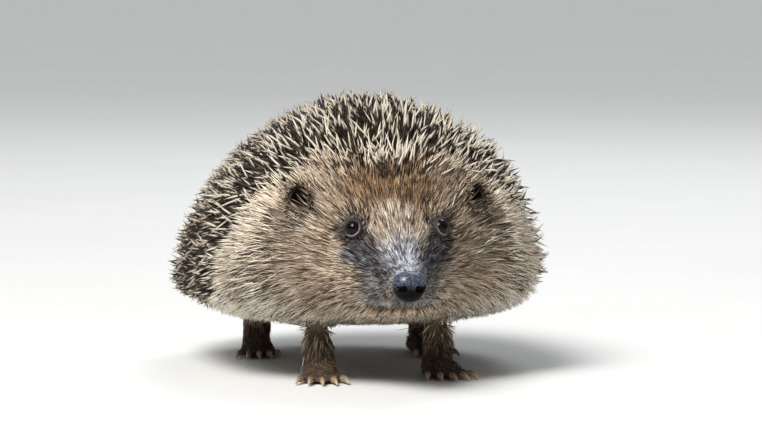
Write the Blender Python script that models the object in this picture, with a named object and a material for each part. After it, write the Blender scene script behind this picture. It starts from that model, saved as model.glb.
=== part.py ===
"""A young hedgehog standing on four feet with its head raised, at life size.

The scene is in metres with +Z up. The animal faces -Y, stands on z = 0 and has the middle
of its outline over the origin. Sizes below are in millimetres and are scaled by MM.
A place on the body is given as (side, back, level): side is the distance to the animal's
left, back the distance behind the tip of the nose and level the height above the floor.
The solids are the outer shape of the coat: the tips of the spines and of the hair.
"""

import math

import bmesh
import bpy
import numpy as np
from mathutils import Vector

MM = 0.001

# Driving sizes
LENGTH = 200.0
MIDDLE = (0.0, -0.17)     # shift that puts the outline's middle over the origin
GAP = 0.3                 # air left between neighbouring pieces
HEAD_TURN = 0.4           # how far the nose is carried to the right of the trunk's axis
NECK_BACK = 62.0          # where that turn starts
AROUND = 44               # faces round the body
STEPS = 2                 # rings made for each station of the body

# Stations of the body, from the nose to the rump: distance behind the nose, half width,
# level of the widest place, of the back and of the underside, and how square the upper
# and lower halves are (2 is an ellipse).
BODY = (
    (2.5, 0.0, 36.6, 36.6, 36.6, 2.0, 2.0),
    (5.0, 4.1, 36.6, 41.0, 32.4, 2.0, 2.0),
    (10.0, 5.9, 36.4, 43.4, 29.4, 1.9, 2.1),
    (15.0, 8.0, 36.8, 46.8, 26.9, 1.8, 2.1),
    (21.0, 11.4, 38.0, 52.0, 25.0, 1.8, 2.2),
    (28.0, 18.2, 40.6, 60.0, 23.0, 2.0, 2.2),
    (36.0, 28.4, 41.8, 68.2, 21.2, 2.0, 2.2),
    (45.0, 39.4, 41.4, 76.6, 19.8, 2.0, 2.2),
    (55.0, 49.6, 40.4, 86.6, 18.6, 1.95, 2.3),
    (67.0, 58.0, 38.8, 94.2, 17.6, 2.0, 2.4),
    (83.0, 63.2, 36.8, 97.8, 16.8, 1.92, 2.6),
    (104.0, 64.8, 34.8, 98.2, 16.2, 1.8, 2.8),
    (128.0, 64.8, 33.0, 95.6, 16.0, 1.72, 2.8),
    (151.0, 62.0, 32.0, 89.2, 16.4, 1.74, 2.7),
    (171.0, 54.0, 31.8, 78.6, 17.6, 1.8, 2.5),
    (186.0, 40.4, 32.8, 66.0, 20.2, 1.9, 2.3),
    (196.0, 22.6, 33.6, 50.4, 25.6, 2.0, 2.0),
    (200.0, 0.0, 35.0, 35.0, 35.0, 2.0, 2.0),
)

# Soft forms of the head: place, radius and how far the surface is pushed out there
FORMS = (
    ((15.0, 34.0, 60.5), 5.5, 1.5),      # brow over the eye
    ((14.0, 24.5, 50.0), 4.5, -0.9),     # hollow in front of the eye
    ((10.0, 20.0, 33.5), 6.0, 1.2),      # lip and whisker pad
    ((25.0, 36.0, 37.0), 9.0, 2.0),      # cheek
    ((0.0, 38.0, 70.0), 8.0, -1.0),      # middle of the forehead
)

# Lines in side view that part the body, as (back, level)
NOSE_LINE = ((4.9, 52.0), (11.9, 27.0), (12.3, 8.0))
# The lower jaw: distance behind the nose, half width and level of the mouth line
JAW = ((11.6, 3.0, 29.6), (14.0, 4.6, 29.9), (18.0, 6.2, 30.3), (22.0, 7.6, 31.0),
       (25.5, 8.4, 31.9), (28.5, 7.6, 31.0), (30.5, 4.6, 27.5))
HEAD_LINE = ((55.0, 60.0), (58.0, 8.0))
NECK_LINE = ((75.0, 32.6), (77.0, 8.0))
BROW_LINE = ((37.0, 80.0), (43.0, 73.8), (51.5, 72.6), (55.0, 60.0))
SHOULDER_LINE = ((55.0, 60.0), (60.5, 48.0), (66.0, 38.6), (75.0, 32.6))
BROW_RISE = 5.0           # how far the spines stand above the hair where they begin
BROW_BLEND = 60.0         # and over what distance this step dies away
SKIRT_LINE = ((75.0, 32.6), (92.0, 28.4), (128.0, 26.4), (165.0, 27.0), (210.0, 28.6))
UNDER, OVER, REAR = 8.0, 120.0, 210.0

EYE = {"place": (14.5, 29.0, 54.0), "radius": 3.1}
EAR = {"place": (31.6, 47.4, 64.6), "half": (6.2, 4.0, 7.2), "wall": 1.3}
NOSE_AXIS = ((8.3, 37.6), (0.9, 34.8))

LEGS = {
    # side: of the foot; back: of the ankle; the leg leans from hip to ankle
    "fore": {
        "side": 21.0, "ankle": 66.0, "hip": (22.0, 72.0, 30.0), "thick": (8.5, 5.2),
        "parting": 7.2, "palm": (16.0, 6.6, 4.2), "toe": 6.4, "claw": 6.0, "splay": 11.0,
    },
    "hind": {
        "side": 30.0, "ankle": 150.0, "hip": (30.0, 142.0, 32.0), "thick": (9.5, 4.8),
        "parting": 7.6, "palm": (24.0, 6.0, 4.4), "toe": 7.0, "claw": 5.0, "splay": 9.0,
    },
}
# How far each foot stands ahead of the plain stance
STEP_AHEAD = {"fore_right": 5.0, "fore_left": -1.0, "hind_right": -2.0, "hind_left": 5.0}
TOES = 5
TOE_RADIUS = 1.9
CLAW_RADIUS = 1.1

COLOURS = {
    "spines": ((0.36, 0.31, 0.25), 0.55),
    "body_fur": ((0.40, 0.33, 0.25), 0.85),
    "face_fur": ((0.36, 0.29, 0.22), 0.80),
    "bare_skin": ((0.16, 0.12, 0.11), 0.60),
    "nose_skin": ((0.022, 0.022, 0.028), 0.30),
    "eye_black": ((0.006, 0.006, 0.007), 0.05),
    "claw_horn": ((0.36, 0.28, 0.20), 0.40),
}


def turn_of(back):
    """How far the body's middle lies to the left at this distance behind the nose."""
    ahead = max(0.0, 1.0 - back / NECK_BACK)
    return -HEAD_TURN * ahead**2


def at(side, back, level):
    """A place on the body, as a vector in metres."""
    return Vector((turn_of(back) + side, back - LENGTH / 2, level)) * MM


def clear_scene():
    for obj in list(bpy.data.objects):
        bpy.data.objects.remove(obj)


def material(name):
    colour, roughness = COLOURS[name]
    made = bpy.data.materials.get(name) or bpy.data.materials.new(name)
    made.use_nodes = True
    shader = made.node_tree.nodes["Principled BSDF"]
    shader.inputs["Base Color"].default_value = (*colour, 1.0)
    shader.inputs["Roughness"].default_value = roughness
    shader.inputs["Metallic"].default_value = 0.0
    return made


def object_from(bm, name, finish=None):
    """Closes the bmesh into a named object, with its faces turned outwards."""
    bmesh.ops.recalc_face_normals(bm, faces=bm.faces)
    mesh = bpy.data.meshes.new(name)
    bm.to_mesh(mesh)
    bm.free()
    obj = bpy.data.objects.new(name, mesh)
    bpy.context.scene.collection.objects.link(obj)
    if finish:
        mesh.materials.append(material(finish))
        mesh.shade_smooth()
        mesh.set_sharp_from_angle(angle=math.radians(38))
    else:
        obj.hide_render = True
        obj.display_type = "WIRE"
    return obj


def boolean(obj, other, operation):
    modifier = obj.modifiers.new(f"{operation.lower()} {other.name}", "BOOLEAN")
    modifier.operation = operation
    modifier.object = other
    return obj


def settled(obj):
    """Applies the object's modifiers and returns it, so that it can be cut again quickly."""
    graph = bpy.context.evaluated_depsgraph_get()
    mesh = bpy.data.meshes.new_from_object(obj.evaluated_get(graph))
    obj.modifiers.clear()
    obj.data = mesh
    return obj


def ring(centre, across, over, width, above, below, power=2.0, power_below=2.0, count=AROUND):
    """One closed section: half of a superellipse above its widest line and half below."""
    points = []
    for k in range(count):
        c = math.cos(2 * math.pi * k / count)
        s = math.sin(2 * math.pi * k / count)
        bend = 2 / (power if s >= 0 else power_below)
        height = above if s >= 0 else below
        out = width * math.copysign(abs(c) ** bend, c)
        up = height * math.copysign(abs(s) ** bend, s)
        points.append(centre + across * out + over * up)
    return points


def loft(name, rings, finish=None):
    """A closed solid over rings of equal count. A ring of one point closes to a tip."""
    bm = bmesh.new()
    rows = [[bm.verts.new(p) for p in points] for points in rings]
    for before, after in zip(rows, rows[1:]):
        count = max(len(before), len(after))
        for k in range(count):
            n = (k + 1) % count
            corners = [
                before[k % len(before)], before[n % len(before)],
                after[n % len(after)], after[k % len(after)],
            ]
            bm.faces.new(list(dict.fromkeys(corners)))
    for end in (rows[0], rows[-1]):
        if len(end) > 2:
            bm.faces.new(end)
    return object_from(bm, name, finish)


def through(rows, steps):
    """Catmull-Rom rows through the given ones. Past a closed end the shape is mirrored."""
    rows = np.array(rows, float)
    first, last = 2 * rows[0] - rows[1], 2 * rows[-1] - rows[-2]
    first[0], last[0] = rows[1][0], rows[-2][0]
    padded = np.vstack([first, rows, last])
    made = []
    for a, b, c, d in zip(padded, padded[1:], padded[2:], padded[3:]):
        for t in np.arange(steps) / steps:
            made.append(
                0.5 * (2 * b + (c - a) * t + (2 * a - 5 * b + 4 * c - d) * t**2
                       + (3 * b - a - 3 * c + d) * t**3)
            )
    made.append(rows[-1])
    return made


def pushed(point, centre):
    """A point of the surface, moved outwards from its section's middle by the soft forms."""
    outward = (point - centre).normalized()
    moved = point.copy()
    for (side, back, level), radius, push in FORMS:
        for sign in (-1, 1) if side else (1,):
            distance = (point - at(sign * side, back, level)).length / (radius * MM)
            moved += outward * push * MM * math.exp(-distance**2)
    return moved


def body_shape(name, grown=0.0, brow=0.0):
    """The whole coat from nose to rump as one solid, grown outwards by a clearance.

    The brow is an extra height for the spines, which dies away towards the rump.
    """
    rings = []
    for back, width, widest, top, bottom, power, power_below in through(BODY, STEPS):
        centre = at(0, back, widest)
        if width < 1e-6:
            rings.append([centre])
            continue
        share = min(1.0, max(0.0, 1.0 - (back - BROW_LINE[0][0]) / BROW_BLEND))
        rise = brow * share * share * (3 - 2 * share)
        points = ring(
            centre, Vector((MM, 0, 0)), Vector((0, 0, MM)), width + rise * 0.4 + grown,
            top - widest + rise + grown, widest - bottom + grown, power, power_below,
        )
        rings.append([pushed(p, centre) for p in points])
    return loft(name, rings)


def inset(outline, by):
    """A closed outline drawn in by a distance on every side. It runs anticlockwise."""
    points = [Vector(p) for p in outline]
    made = []
    for before, here, after in zip(points[-1:] + points, points, points[1:] + points[:1]):
        into, out = (here - before).normalized(), (after - here).normalized()
        normal_in, normal_out = Vector((-into.y, into.x)), Vector((-out.y, out.x))
        bisector = normal_in + normal_out
        made.append(here + bisector * (by * 2 / bisector.length_squared))
    return made


def side_prism(name, outline, by=GAP / 2, half_width=90.0):
    """A cutter: an outline in side view, drawn in a little and carried through the body."""
    area = sum(a[0] * b[1] - b[0] * a[1] for a, b in zip(outline, outline[1:] + outline[:1]))
    outline = outline if area > 0 else outline[::-1]
    sides = []
    for side in (-half_width, half_width):
        sides.append([
            Vector((side, p.x - LENGTH / 2, p.y)) * MM for p in inset(outline, by)
        ])
    return loft(name, sides)


def jaw_cutter(name, grown=0.0):
    """The room of the lower jaw: a tongue-shaped block under the mouth line."""
    rings = []
    ends = (JAW[0][0] - grown, JAW[-1][0] + grown)
    for k, (back, width, level) in enumerate(JAW):
        place = ends[0] if k == 0 else ends[1] if k == len(JAW) - 1 else back
        rings.append(ring(
            at(0, place, level - 3.0), Vector((MM, 0, 0)), Vector((0, 0, MM)),
            width + grown, 3.0 + grown, 20.0, 2.4, 8.0, 20,
        ))
    return loft(name, rings)


def cut_piece(name, whole, cuts, finish):
    """A copy of a solid, cut in turn by the given cutters."""
    piece = bpy.data.objects.new(name, whole.data.copy())
    bpy.context.scene.collection.objects.link(piece)
    piece.data.materials.append(material(finish))
    for cutter, operation in cuts:
        boolean(piece, cutter, operation)
    settled(piece)
    piece.data.shade_smooth()
    piece.data.set_sharp_from_angle(angle=math.radians(38))
    return piece


def region(name, whole, outline, finish):
    """The stretch of the body that lies inside an outline in side view."""
    return cut_piece(name, whole, [(side_prism(f"{name}_region", outline), "INTERSECT")],
                     finish)


def ball(name, centre, half, finish=None, turn=(0, 0, 0), segments=16, rings=10):
    """An ellipsoid given by its half sizes."""
    bm = bmesh.new()
    bmesh.ops.create_uvsphere(bm, u_segments=segments, v_segments=rings, radius=1.0)
    bmesh.ops.scale(bm, vec=Vector(half) * MM, verts=bm.verts)
    obj = object_from(bm, name, finish)
    obj.rotation_euler = [math.radians(a) for a in turn]
    obj.location = centre
    return obj


def tube(name, spine, sizes, finish=None, count=12, power=2.0):
    """A solid along a line of points, with a half width and half height at each point."""
    rings = []
    for k, (point, (width, height)) in enumerate(zip(spine, sizes)):
        ahead = spine[min(k + 1, len(spine) - 1)] - spine[max(k - 1, 0)]
        forward = ahead.normalized()
        reference = Vector((0, 0, 1)) if abs(forward.z) < 0.8 else Vector((0, -1, 0))
        across = forward.cross(reference).normalized()
        over = across.cross(forward).normalized()
        rings.append(ring(point, across * MM, over * MM, width, height, height,
                          power, power, count))
    return loft(name, rings, finish)


def rounded(start, end, radius_start, radius_end, steps=3):
    """Spine points and radii of a straight tapered rod with round ends."""
    axis = (end - start).normalized() * MM
    spine, radii = [], []
    for k in range(steps):
        angle = math.pi / 2 * (k + 0.6) / steps
        spine.append(start - axis * radius_start * math.cos(angle))
        radii.append(radius_start * math.sin(angle))
    for k in reversed(range(steps)):
        angle = math.pi / 2 * (k + 0.6) / steps
        spine.append(end + axis * radius_end * math.cos(angle))
        radii.append(radius_end * math.sin(angle))
    return spine, radii


def build_nose():
    """The bare pad: a rounded block on the snout's axis with a nostril in each cheek."""
    rear, tip = (at(0, *p) for p in NOSE_AXIS)
    axis = (tip - rear).normalized()
    across = Vector((1, 0, 0))
    over = across.cross(axis)
    over *= math.copysign(1, over.z)
    length = (tip - rear).length
    profile = ((0.0, 4.7, 4.1), (0.2, 5.1, 4.6), (0.45, 5.2, 4.8), (0.68, 4.8, 4.5),
               (0.85, 3.9, 3.7), (0.96, 2.5, 2.4), (1.0, 1.2, 1.2))
    rings = [
        ring(rear + axis * length * share, across * MM, over * MM, width, height,
             height * 0.95, 2.2, 2.4, 20)
        for share, width, height in profile
    ]
    nose = loft("nose", rings, "nose_skin")
    for side in (-1, 1):
        centre = rear + axis * length * 0.74 + across * side * 4.2 * MM - over * 0.6 * MM
        hole = ball(f"nostril_{side}", centre, (1.5, 1.7, 1.1), segments=10, rings=6)
        boolean(nose, hole, "DIFFERENCE")
    return nose


def build_eyes(head):
    """Two balls in sockets that leave the clearance all round."""
    side, back, level = EYE["place"]
    for name, sign in (("left", 1), ("right", -1)):
        centre = at(sign * side, back, level)
        radius = EYE["radius"]
        socket = ball(f"socket_{name}", centre, [radius + GAP] * 3)
        boolean(head, socket, "DIFFERENCE")
        ball(f"eye_{name}", centre, [radius] * 3, "eye_black")


def build_ears(clearances):
    """Round cups that stand out of the fur behind the eyes and open forwards and outwards."""
    side, back, level = EAR["place"]
    wall = EAR["wall"]
    for name, sign in (("left", 1), ("right", -1)):
        turn = (-14.0, sign * 30.0, sign * 32.0)
        centre = at(sign * side, back, level)
        ear = ball(f"ear_{name}", centre, EAR["half"], "bare_skin", turn)
        inner_half = [size - wall for size in EAR["half"]]
        inner_half[1] += wall * 1.2
        hollow = ball(f"ear_hollow_{name}", centre, inner_half, None, turn)
        bpy.context.view_layer.update()
        opening = ear.matrix_world.to_3x3() @ Vector((0, -1, 0))
        hollow.location = centre + opening * 2.6 * MM
        boolean(ear, hollow, "DIFFERENCE")
        for clearance in clearances:
            boolean(ear, clearance, "DIFFERENCE")


def build_limb(kind, side_name, sign, envelope):
    """A leg and its foot, modelled as one and parted at the ankle, and five claws."""
    leg = LEGS[kind]
    ahead = STEP_AHEAD[f"{kind}_{side_name}"]
    ankle_back = leg["ankle"] - ahead
    side = sign * leg["side"]
    palm_length, palm_width, palm_height = leg["palm"]
    hip_side, hip_back, hip_level = leg["hip"]
    outward = math.radians(leg["splay"]) * sign
    forward = Vector((math.sin(outward) * 0.6, -math.cos(outward), 0)).normalized()
    across = Vector((-forward.y, forward.x, 0))

    ankle = at(side, ankle_back, 6.0)
    hip = at(sign * hip_side, hip_back, hip_level)
    thick_hip, thick_ankle = leg["thick"]
    spine, radii = rounded(ankle, hip, thick_ankle, thick_hip)
    limb = tube(f"{kind}limb_{side_name}", spine, [(r, r) for r in radii], count=14)

    heel = ankle - forward * palm_length * 0.28 * MM
    heel.z = palm_height * 0.62 * MM
    ball_of_foot = heel + forward * palm_length * 0.8 * MM
    sizes, points = [], []
    for share, wide, high in ((-0.12, 0.45, 0.5), (0.0, 0.72, 0.85), (0.35, 0.86, 1.0),
                              (0.75, 1.0, 0.95), (0.98, 0.86, 0.75), (1.1, 0.5, 0.45)):
        points.append(heel.lerp(ball_of_foot, share))
        sizes.append((palm_width * wide, palm_height * high))
    palm = tube(f"{kind}palm_{side_name}", points, sizes, count=14, power=2.4)
    boolean(limb, palm, "UNION")

    toe_ends = []
    for k in range(TOES):
        spread = (k - (TOES - 1) / 2) / ((TOES - 1) / 2)
        reach = leg["toe"] * (1.0 - 0.30 * spread**2)
        root = ball_of_foot + across * spread * (palm_width - TOE_RADIUS) * MM
        root -= forward * (1.5 + 2.0 * spread**2) * MM
        root.z = 2.2 * MM
        heading = (forward + across * spread * 0.34).normalized()
        tip = root + heading * (reach + 1.5) * MM
        tip.z = 1.75 * MM
        spine, radii = rounded(root, tip, TOE_RADIUS, TOE_RADIUS * 0.86)
        spine, radii = spine[:-1], radii[:-1]
        toe = tube(f"{kind}toe_{side_name}_{k}", spine, [(r, r) for r in radii], count=8)
        boolean(limb, toe, "UNION")
        toe_ends.append((spine[-1], heading))
    settled(limb)

    parting = leg["parting"]
    low = [(ankle_back - 60, -GAP / 2), (ankle_back + 60, -GAP / 2),
           (ankle_back + 60, parting), (ankle_back - 60, parting)]
    high = [(ankle_back - 60, parting), (ankle_back + 60, parting),
            (ankle_back + 60, 60.0), (ankle_back - 60, 60.0)]
    region(f"{kind}foot_{side_name}", limb, low, "bare_skin")
    upper = region(f"{kind}leg_{side_name}", limb, high, "body_fur")
    boolean(upper, envelope, "DIFFERENCE")

    for k, (end, heading) in enumerate(toe_ends):
        build_claw(f"{kind}claw_{side_name}_{k + 1}", end + heading * GAP * MM, heading,
                   leg["claw"])


def build_claw(name, root, heading, length):
    """A curved, pointed claw that arches forwards and down, just clear of the floor."""
    steps = 4
    drop = root.z / MM - 0.55
    spine, sizes = [], []
    for k in range(steps + 1):
        share = k / steps
        arch = 0.5 * math.sin(math.pi * share)
        level = root.z / MM - drop * share**1.8 + arch
        radius = CLAW_RADIUS * (1 - share) ** 0.7 + 0.28
        point = root + heading * length * share * MM
        point.z = level * MM
        spine.append(point)
        sizes.append((radius * 0.8, radius * (1.0 if k else 0.95)))
    sizes[-1] = (0.26, 0.26)
    tube(name, spine, sizes, "claw_horn", count=7)


def build_tail(envelope):
    """A short cone under the rump."""
    spine, radii = rounded(at(0, 180.0, 25.0), at(0, 194.5, 17.5), 4.6, 2.0)
    tail = tube("tail", spine, [(r, r) for r in radii], "body_fur", count=14)
    boolean(tail, envelope, "DIFFERENCE")


def set_in_middle():
    """Hangs every piece on one empty, which carries the animal to the origin."""
    root = bpy.data.objects.new("hedgehog", None)
    root.empty_display_size = 20 * MM
    bpy.context.scene.collection.objects.link(root)
    for obj in bpy.data.objects:
        if obj.type == "MESH":
            obj.parent = root
    root.location = (MIDDLE[0] * MM, MIDDLE[1] * MM, 0.0)


def main():
    clear_scene()
    whole = body_shape("whole_coat")
    spined = body_shape("spined_coat", brow=BROW_RISE)
    envelope = body_shape("coat_clearance", GAP)
    spined_envelope = body_shape("spined_clearance", GAP, BROW_RISE)

    head_outline = [*NOSE_LINE, *reversed(HEAD_LINE), *reversed(BROW_LINE[:-1])]
    head = cut_piece("head", whole, [
        (side_prism("head_region", head_outline), "INTERSECT"),
        (jaw_cutter("jaw_room", GAP), "DIFFERENCE"),
    ], "face_fur")
    cut_piece("lower_jaw", whole, [(jaw_cutter("jaw_block"), "INTERSECT")], "face_fur")
    region("neck", whole, [*HEAD_LINE[::-1], *SHOULDER_LINE[1:], NECK_LINE[1]], "body_fur")
    region("trunk", whole, [NECK_LINE[1], *SKIRT_LINE, (REAR, UNDER)], "body_fur")
    back_outline = [
        *BROW_LINE, *SHOULDER_LINE[1:], *SKIRT_LINE[1:], (REAR, OVER), (BROW_LINE[0][0], OVER),
    ]
    region("spiny_back", spined, back_outline, "spines")
    back_clearance = cut_piece("back_clearance", spined_envelope, [
        (side_prism("back_room", back_outline, -GAP / 2), "INTERSECT"),
    ], "spines")
    back_clearance.hide_render = True
    back_clearance.display_type = "WIRE"

    build_nose()
    build_eyes(head)
    build_ears((envelope, back_clearance))
    for kind in ("fore", "hind"):
        for side_name, sign in (("left", 1), ("right", -1)):
            build_limb(kind, side_name, sign, envelope)
    build_tail(envelope)
    set_in_middle()


main()
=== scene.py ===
# %% [markdown]
# # A young hedgehog in its coat
#
# The solid model gives the outline of the animal out to the tips of its spines and hair.
# This lesson puts a skin inside that outline, gives it eyelids, a mouth, ears and a wet
# nose, and then plants some eighty-eight thousand hairs and nearly five thousand spines in
# the skin, each cut so that it ends near the outline. Lengths in the working arrays are in
# millimetres.

import math
from itertools import product

import bpy
import numpy as np
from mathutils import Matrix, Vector
from mathutils.bvhtree import BVHTree
from mathutils.kdtree import KDTree


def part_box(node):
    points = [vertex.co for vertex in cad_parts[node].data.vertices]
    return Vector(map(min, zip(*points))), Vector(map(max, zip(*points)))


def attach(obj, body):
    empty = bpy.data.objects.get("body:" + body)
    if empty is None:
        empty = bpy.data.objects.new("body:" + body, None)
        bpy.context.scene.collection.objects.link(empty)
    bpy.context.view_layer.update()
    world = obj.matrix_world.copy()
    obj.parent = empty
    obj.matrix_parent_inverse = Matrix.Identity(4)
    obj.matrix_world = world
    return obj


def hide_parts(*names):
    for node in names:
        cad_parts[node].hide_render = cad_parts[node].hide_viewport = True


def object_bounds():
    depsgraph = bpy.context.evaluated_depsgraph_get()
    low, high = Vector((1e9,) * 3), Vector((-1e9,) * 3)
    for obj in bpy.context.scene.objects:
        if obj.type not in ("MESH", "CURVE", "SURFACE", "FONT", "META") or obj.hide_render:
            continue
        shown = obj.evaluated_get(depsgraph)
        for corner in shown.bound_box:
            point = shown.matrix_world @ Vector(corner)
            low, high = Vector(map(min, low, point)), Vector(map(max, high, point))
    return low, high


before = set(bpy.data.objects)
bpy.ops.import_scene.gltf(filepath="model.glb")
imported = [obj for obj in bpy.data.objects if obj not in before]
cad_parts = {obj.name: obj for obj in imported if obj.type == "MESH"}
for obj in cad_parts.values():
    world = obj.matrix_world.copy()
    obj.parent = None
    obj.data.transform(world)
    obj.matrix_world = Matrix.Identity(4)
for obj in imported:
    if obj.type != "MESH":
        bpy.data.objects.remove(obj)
cad_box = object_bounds()
MM = 0.001
DRAFT = 1.0     # share of the coat that is planted
rng = np.random.default_rng(11)
print("pieces in the solid model:", len(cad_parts))


# %% [markdown]
# ## Where things are
#
# A place on the animal is given by its side (distance to the left of the middle), its
# distance behind the nose and its level above the floor. The nose, the eyes and the ears
# of the solid model give the landmarks that everything else is measured from. Coordinates
# could be typed in instead, but a change to the solids would leave them behind.

# %% Landmarks
SIDES = {"left": 1, "right": -1}        # the sign of a place on that side
AIR_BEFORE_NOSE = 0.35                  # distances count from just in front of the nose
EAR_INWARD, EAR_DOWN = 1.8, 3.0         # the ears sit closer in than those of the solids


def box_of(node):
    low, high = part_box(node)
    return np.array(low) / MM, np.array(high) / MM


def middle_of(node):
    low, high = box_of(node)
    return (low + high) / 2


NOSE_TIP = box_of("nose")[0][1] - AIR_BEFORE_NOSE


def at(side, back, level):
    return np.array([side, NOSE_TIP + back, level], float)


def behind_nose(points):
    return points[:, 1] - NOSE_TIP


eyes = {side: middle_of(f"eye_{side}") for side in SIDES}
ears = {side: middle_of(f"ear_{side}") - (sign * EAR_INWARD, 0, EAR_DOWN)
        for side, sign in SIDES.items()}
eye_low, eye_high = box_of("eye_left")
EYE_RADIUS = float(eye_high[0] - eye_low[0]) / 2
print("eye radius", round(EYE_RADIUS, 2), "eyes", *(eye.round(1) for eye in eyes.values()))


# %% [markdown]
# ## Working on thousands of points at once
#
# Depths, colours and lengths change gradually over the body. Each could be painted by hand
# as a vertex weight. Here each is a small formula, worked out for all points at once,
# because a formula can be read, changed and run again. A smooth step fades one value into
# another, and a profile reads a value from stations behind the nose.

# %% Helpers for places
def smooth_step(low, high, value):
    t = np.clip((value - low) / (high - low), 0, 1)
    return t * t * (3 - 2 * t)


def blend(a, b, share):
    return a * (1 - share) + b * share


def unit(vectors):
    return vectors / np.maximum(np.linalg.norm(vectors, axis=-1, keepdims=True), 1e-9)


def profile(points, distances, values):
    """A value read for each point from stations behind the nose."""
    return np.interp(behind_nose(points), distances, values)


def near_segment(points, a, b):
    """Distance of each point from the straight stretch between a and b."""
    along = np.clip(((points - a) @ (b - a)) / ((b - a) @ (b - a)), 0, 1)
    return np.linalg.norm(points - a - along[:, None] * (b - a), axis=1)


def near_eyes(points):
    """Distance of each point from the middle of the nearer eye."""
    return np.min([np.linalg.norm(points - eye, axis=1) for eye in eyes.values()], axis=0)


print("from the left ear to the nearer eye", near_eyes(ears["left"][None]).round(1))


# %% [markdown]
# ## Spines or hair
#
# Spines cover the crown, the back and the sides, and hair covers the rest. Seen from the
# side, the border runs over the brow, behind the ear and down to a skirt of hair. In the
# middle of the forehead a peak of spines reaches lower. The function gives the distance
# from that border, positive on the spines' side. A painted mask would only say which side
# a place is on. A line can be measured from, so that spines and hair can mingle along it.

# %% The border of the spines
SPINE_BORDER = np.array([
    (37, 80), (43, 73.8), (51.5, 72.6), (55, 60), (60.5, 48), (66, 38.6), (75, 32.6),
    (92, 28.4), (128, 26.4), (165, 27), (210, 28.6),
], float)
ABOVE_ALL = 140.0                       # a level over the animal, which closes the border
PEAK_DROP, PEAK_WIDTH, PEAK_END = 12.0, 12.0, 60.0


def spine_side(points):
    """Distance inside the spines' border in side view."""
    behind = behind_nose(points)
    peak = PEAK_DROP * np.exp(-((points[:, 0] / PEAK_WIDTH) ** 2)) * (behind < PEAK_END)
    place = np.stack([behind, points[:, 2] + peak], 1)
    stretches = zip(SPINE_BORDER, SPINE_BORDER[1:])
    nearest = np.min([near_segment(place, a, b) for a, b in stretches], axis=0)
    lid = [(SPINE_BORDER[-1, 0], ABOVE_ALL), (SPINE_BORDER[0, 0], ABOVE_ALL)]
    closed = np.vstack([SPINE_BORDER, lid])
    inside = np.zeros(len(place), bool)
    for a, b in zip(closed, np.roll(closed, -1, axis=0)):
        crosses = (a[1] > place[:, 1]) != (b[1] > place[:, 1])
        where = a[0] + (place[:, 1] - a[1]) / (b[1] - a[1] + 1e-12) * (b[0] - a[0])
        inside ^= crosses & (place[:, 0] < where)
    return np.where(inside, nearest, -nearest)


print("the crown lies inside the border by", spine_side(at(0, 100, 80)[None]).round(1))


# %% [markdown]
# ## Studio
#
# A pale floor under a pale surround. Two soft lights stand at the upper left in front, the
# smaller of them for the glint in the eyes, and a third shines from behind at the right. A
# wide, weak sun stands for daylight. A small hard lamp would draw a sharp shadow for every
# hair, and large soft lights keep the coat soft. The camera is low in front, a little to
# the animal's right. Lengths in these two cells are in metres.

# %% Set up the camera
CAMERA_AZIMUTH, CAMERA_ELEVATION = math.radians(-10.0), math.radians(4.0)
CAMERA_DISTANCE = 1.3
LENS, SENSOR = 187.0, 36.0
ASIDE_OF_NOSE, ABOVE_NOSE = -0.0102, 0.0240     # the middle of the picture


def clear_selection():
    if bpy.context.mode != "OBJECT":
        bpy.ops.object.mode_set(mode="OBJECT")
    bpy.ops.object.select_all(action="DESELECT")


to_camera = Vector((
    math.sin(CAMERA_AZIMUTH) * math.cos(CAMERA_ELEVATION),
    -math.cos(CAMERA_AZIMUTH) * math.cos(CAMERA_ELEVATION),
    math.sin(CAMERA_ELEVATION),
))
aside = Vector((-to_camera.y, to_camera.x, 0)).normalized()
above = aside.cross(-to_camera)
nose_place = Vector(at(0.4, 4.0, 36.5)) * MM
bpy.ops.object.camera_add()
camera = bpy.context.object
camera.name = "camera"
camera.data.lens = LENS
camera.data.sensor_width = SENSOR
camera.data.clip_start, camera.data.clip_end = 0.01, 50.0
looked_at = nose_place + aside * ASIDE_OF_NOSE + above * ABOVE_NOSE
camera.location = looked_at + to_camera * CAMERA_DISTANCE
camera.rotation_euler = to_camera.to_track_quat("Z", "Y").to_euler()
bpy.context.scene.camera = camera
print("camera at", [round(v, 3) for v in camera.location])


# %% Lay the floor and hang the lights
FLOOR_RADIUS = 60.0
LIT_PLACE = Vector((0, -0.03, 0.05))    # where the soft lights point

clear_selection()
bpy.ops.mesh.primitive_circle_add(vertices=96, radius=FLOOR_RADIUS, fill_type="NGON")
floor = bpy.context.object
floor.name = "floor"


def soft_light(name, place, size, watts, colour):
    clear_selection()
    bpy.ops.object.light_add(type="AREA", location=place)
    light = bpy.context.object
    light.name = name
    light.data.shape = "DISK"
    light.data.size = size
    light.data.energy = watts
    light.data.color = colour
    light.rotation_euler = (Vector(place) - LIT_PLACE).to_track_quat("Z", "Y").to_euler()


soft_light("key_light", (-0.62, -0.80, 1.30), 0.72, 17.0, (1.0, 0.98, 0.95))
soft_light("catch_light", (-0.60, -0.95, 1.10), 0.46, 8.0, (0.92, 0.97, 1.0))
soft_light("back_light", (0.5, 1.1, 1.3), 0.7, 9.0, (0.92, 0.96, 1.0))

clear_selection()
bpy.ops.object.light_add(type="SUN", rotation=(math.radians(22), math.radians(-28), 0))
daylight = bpy.context.object
daylight.name = "daylight"
daylight.data.energy = 1.8
daylight.data.angle = math.radians(40)
daylight.data.color = (0.95, 0.98, 1.0)

world = bpy.data.worlds.new("studio")
bpy.context.scene.world = world
world.use_nodes = True
surround = world.node_tree.nodes["Background"].inputs
surround["Color"].default_value = (0.80, 0.84, 0.90, 1)
surround["Strength"].default_value = 0.36
bpy.context.scene.view_settings.view_transform = "Standard"


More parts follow.
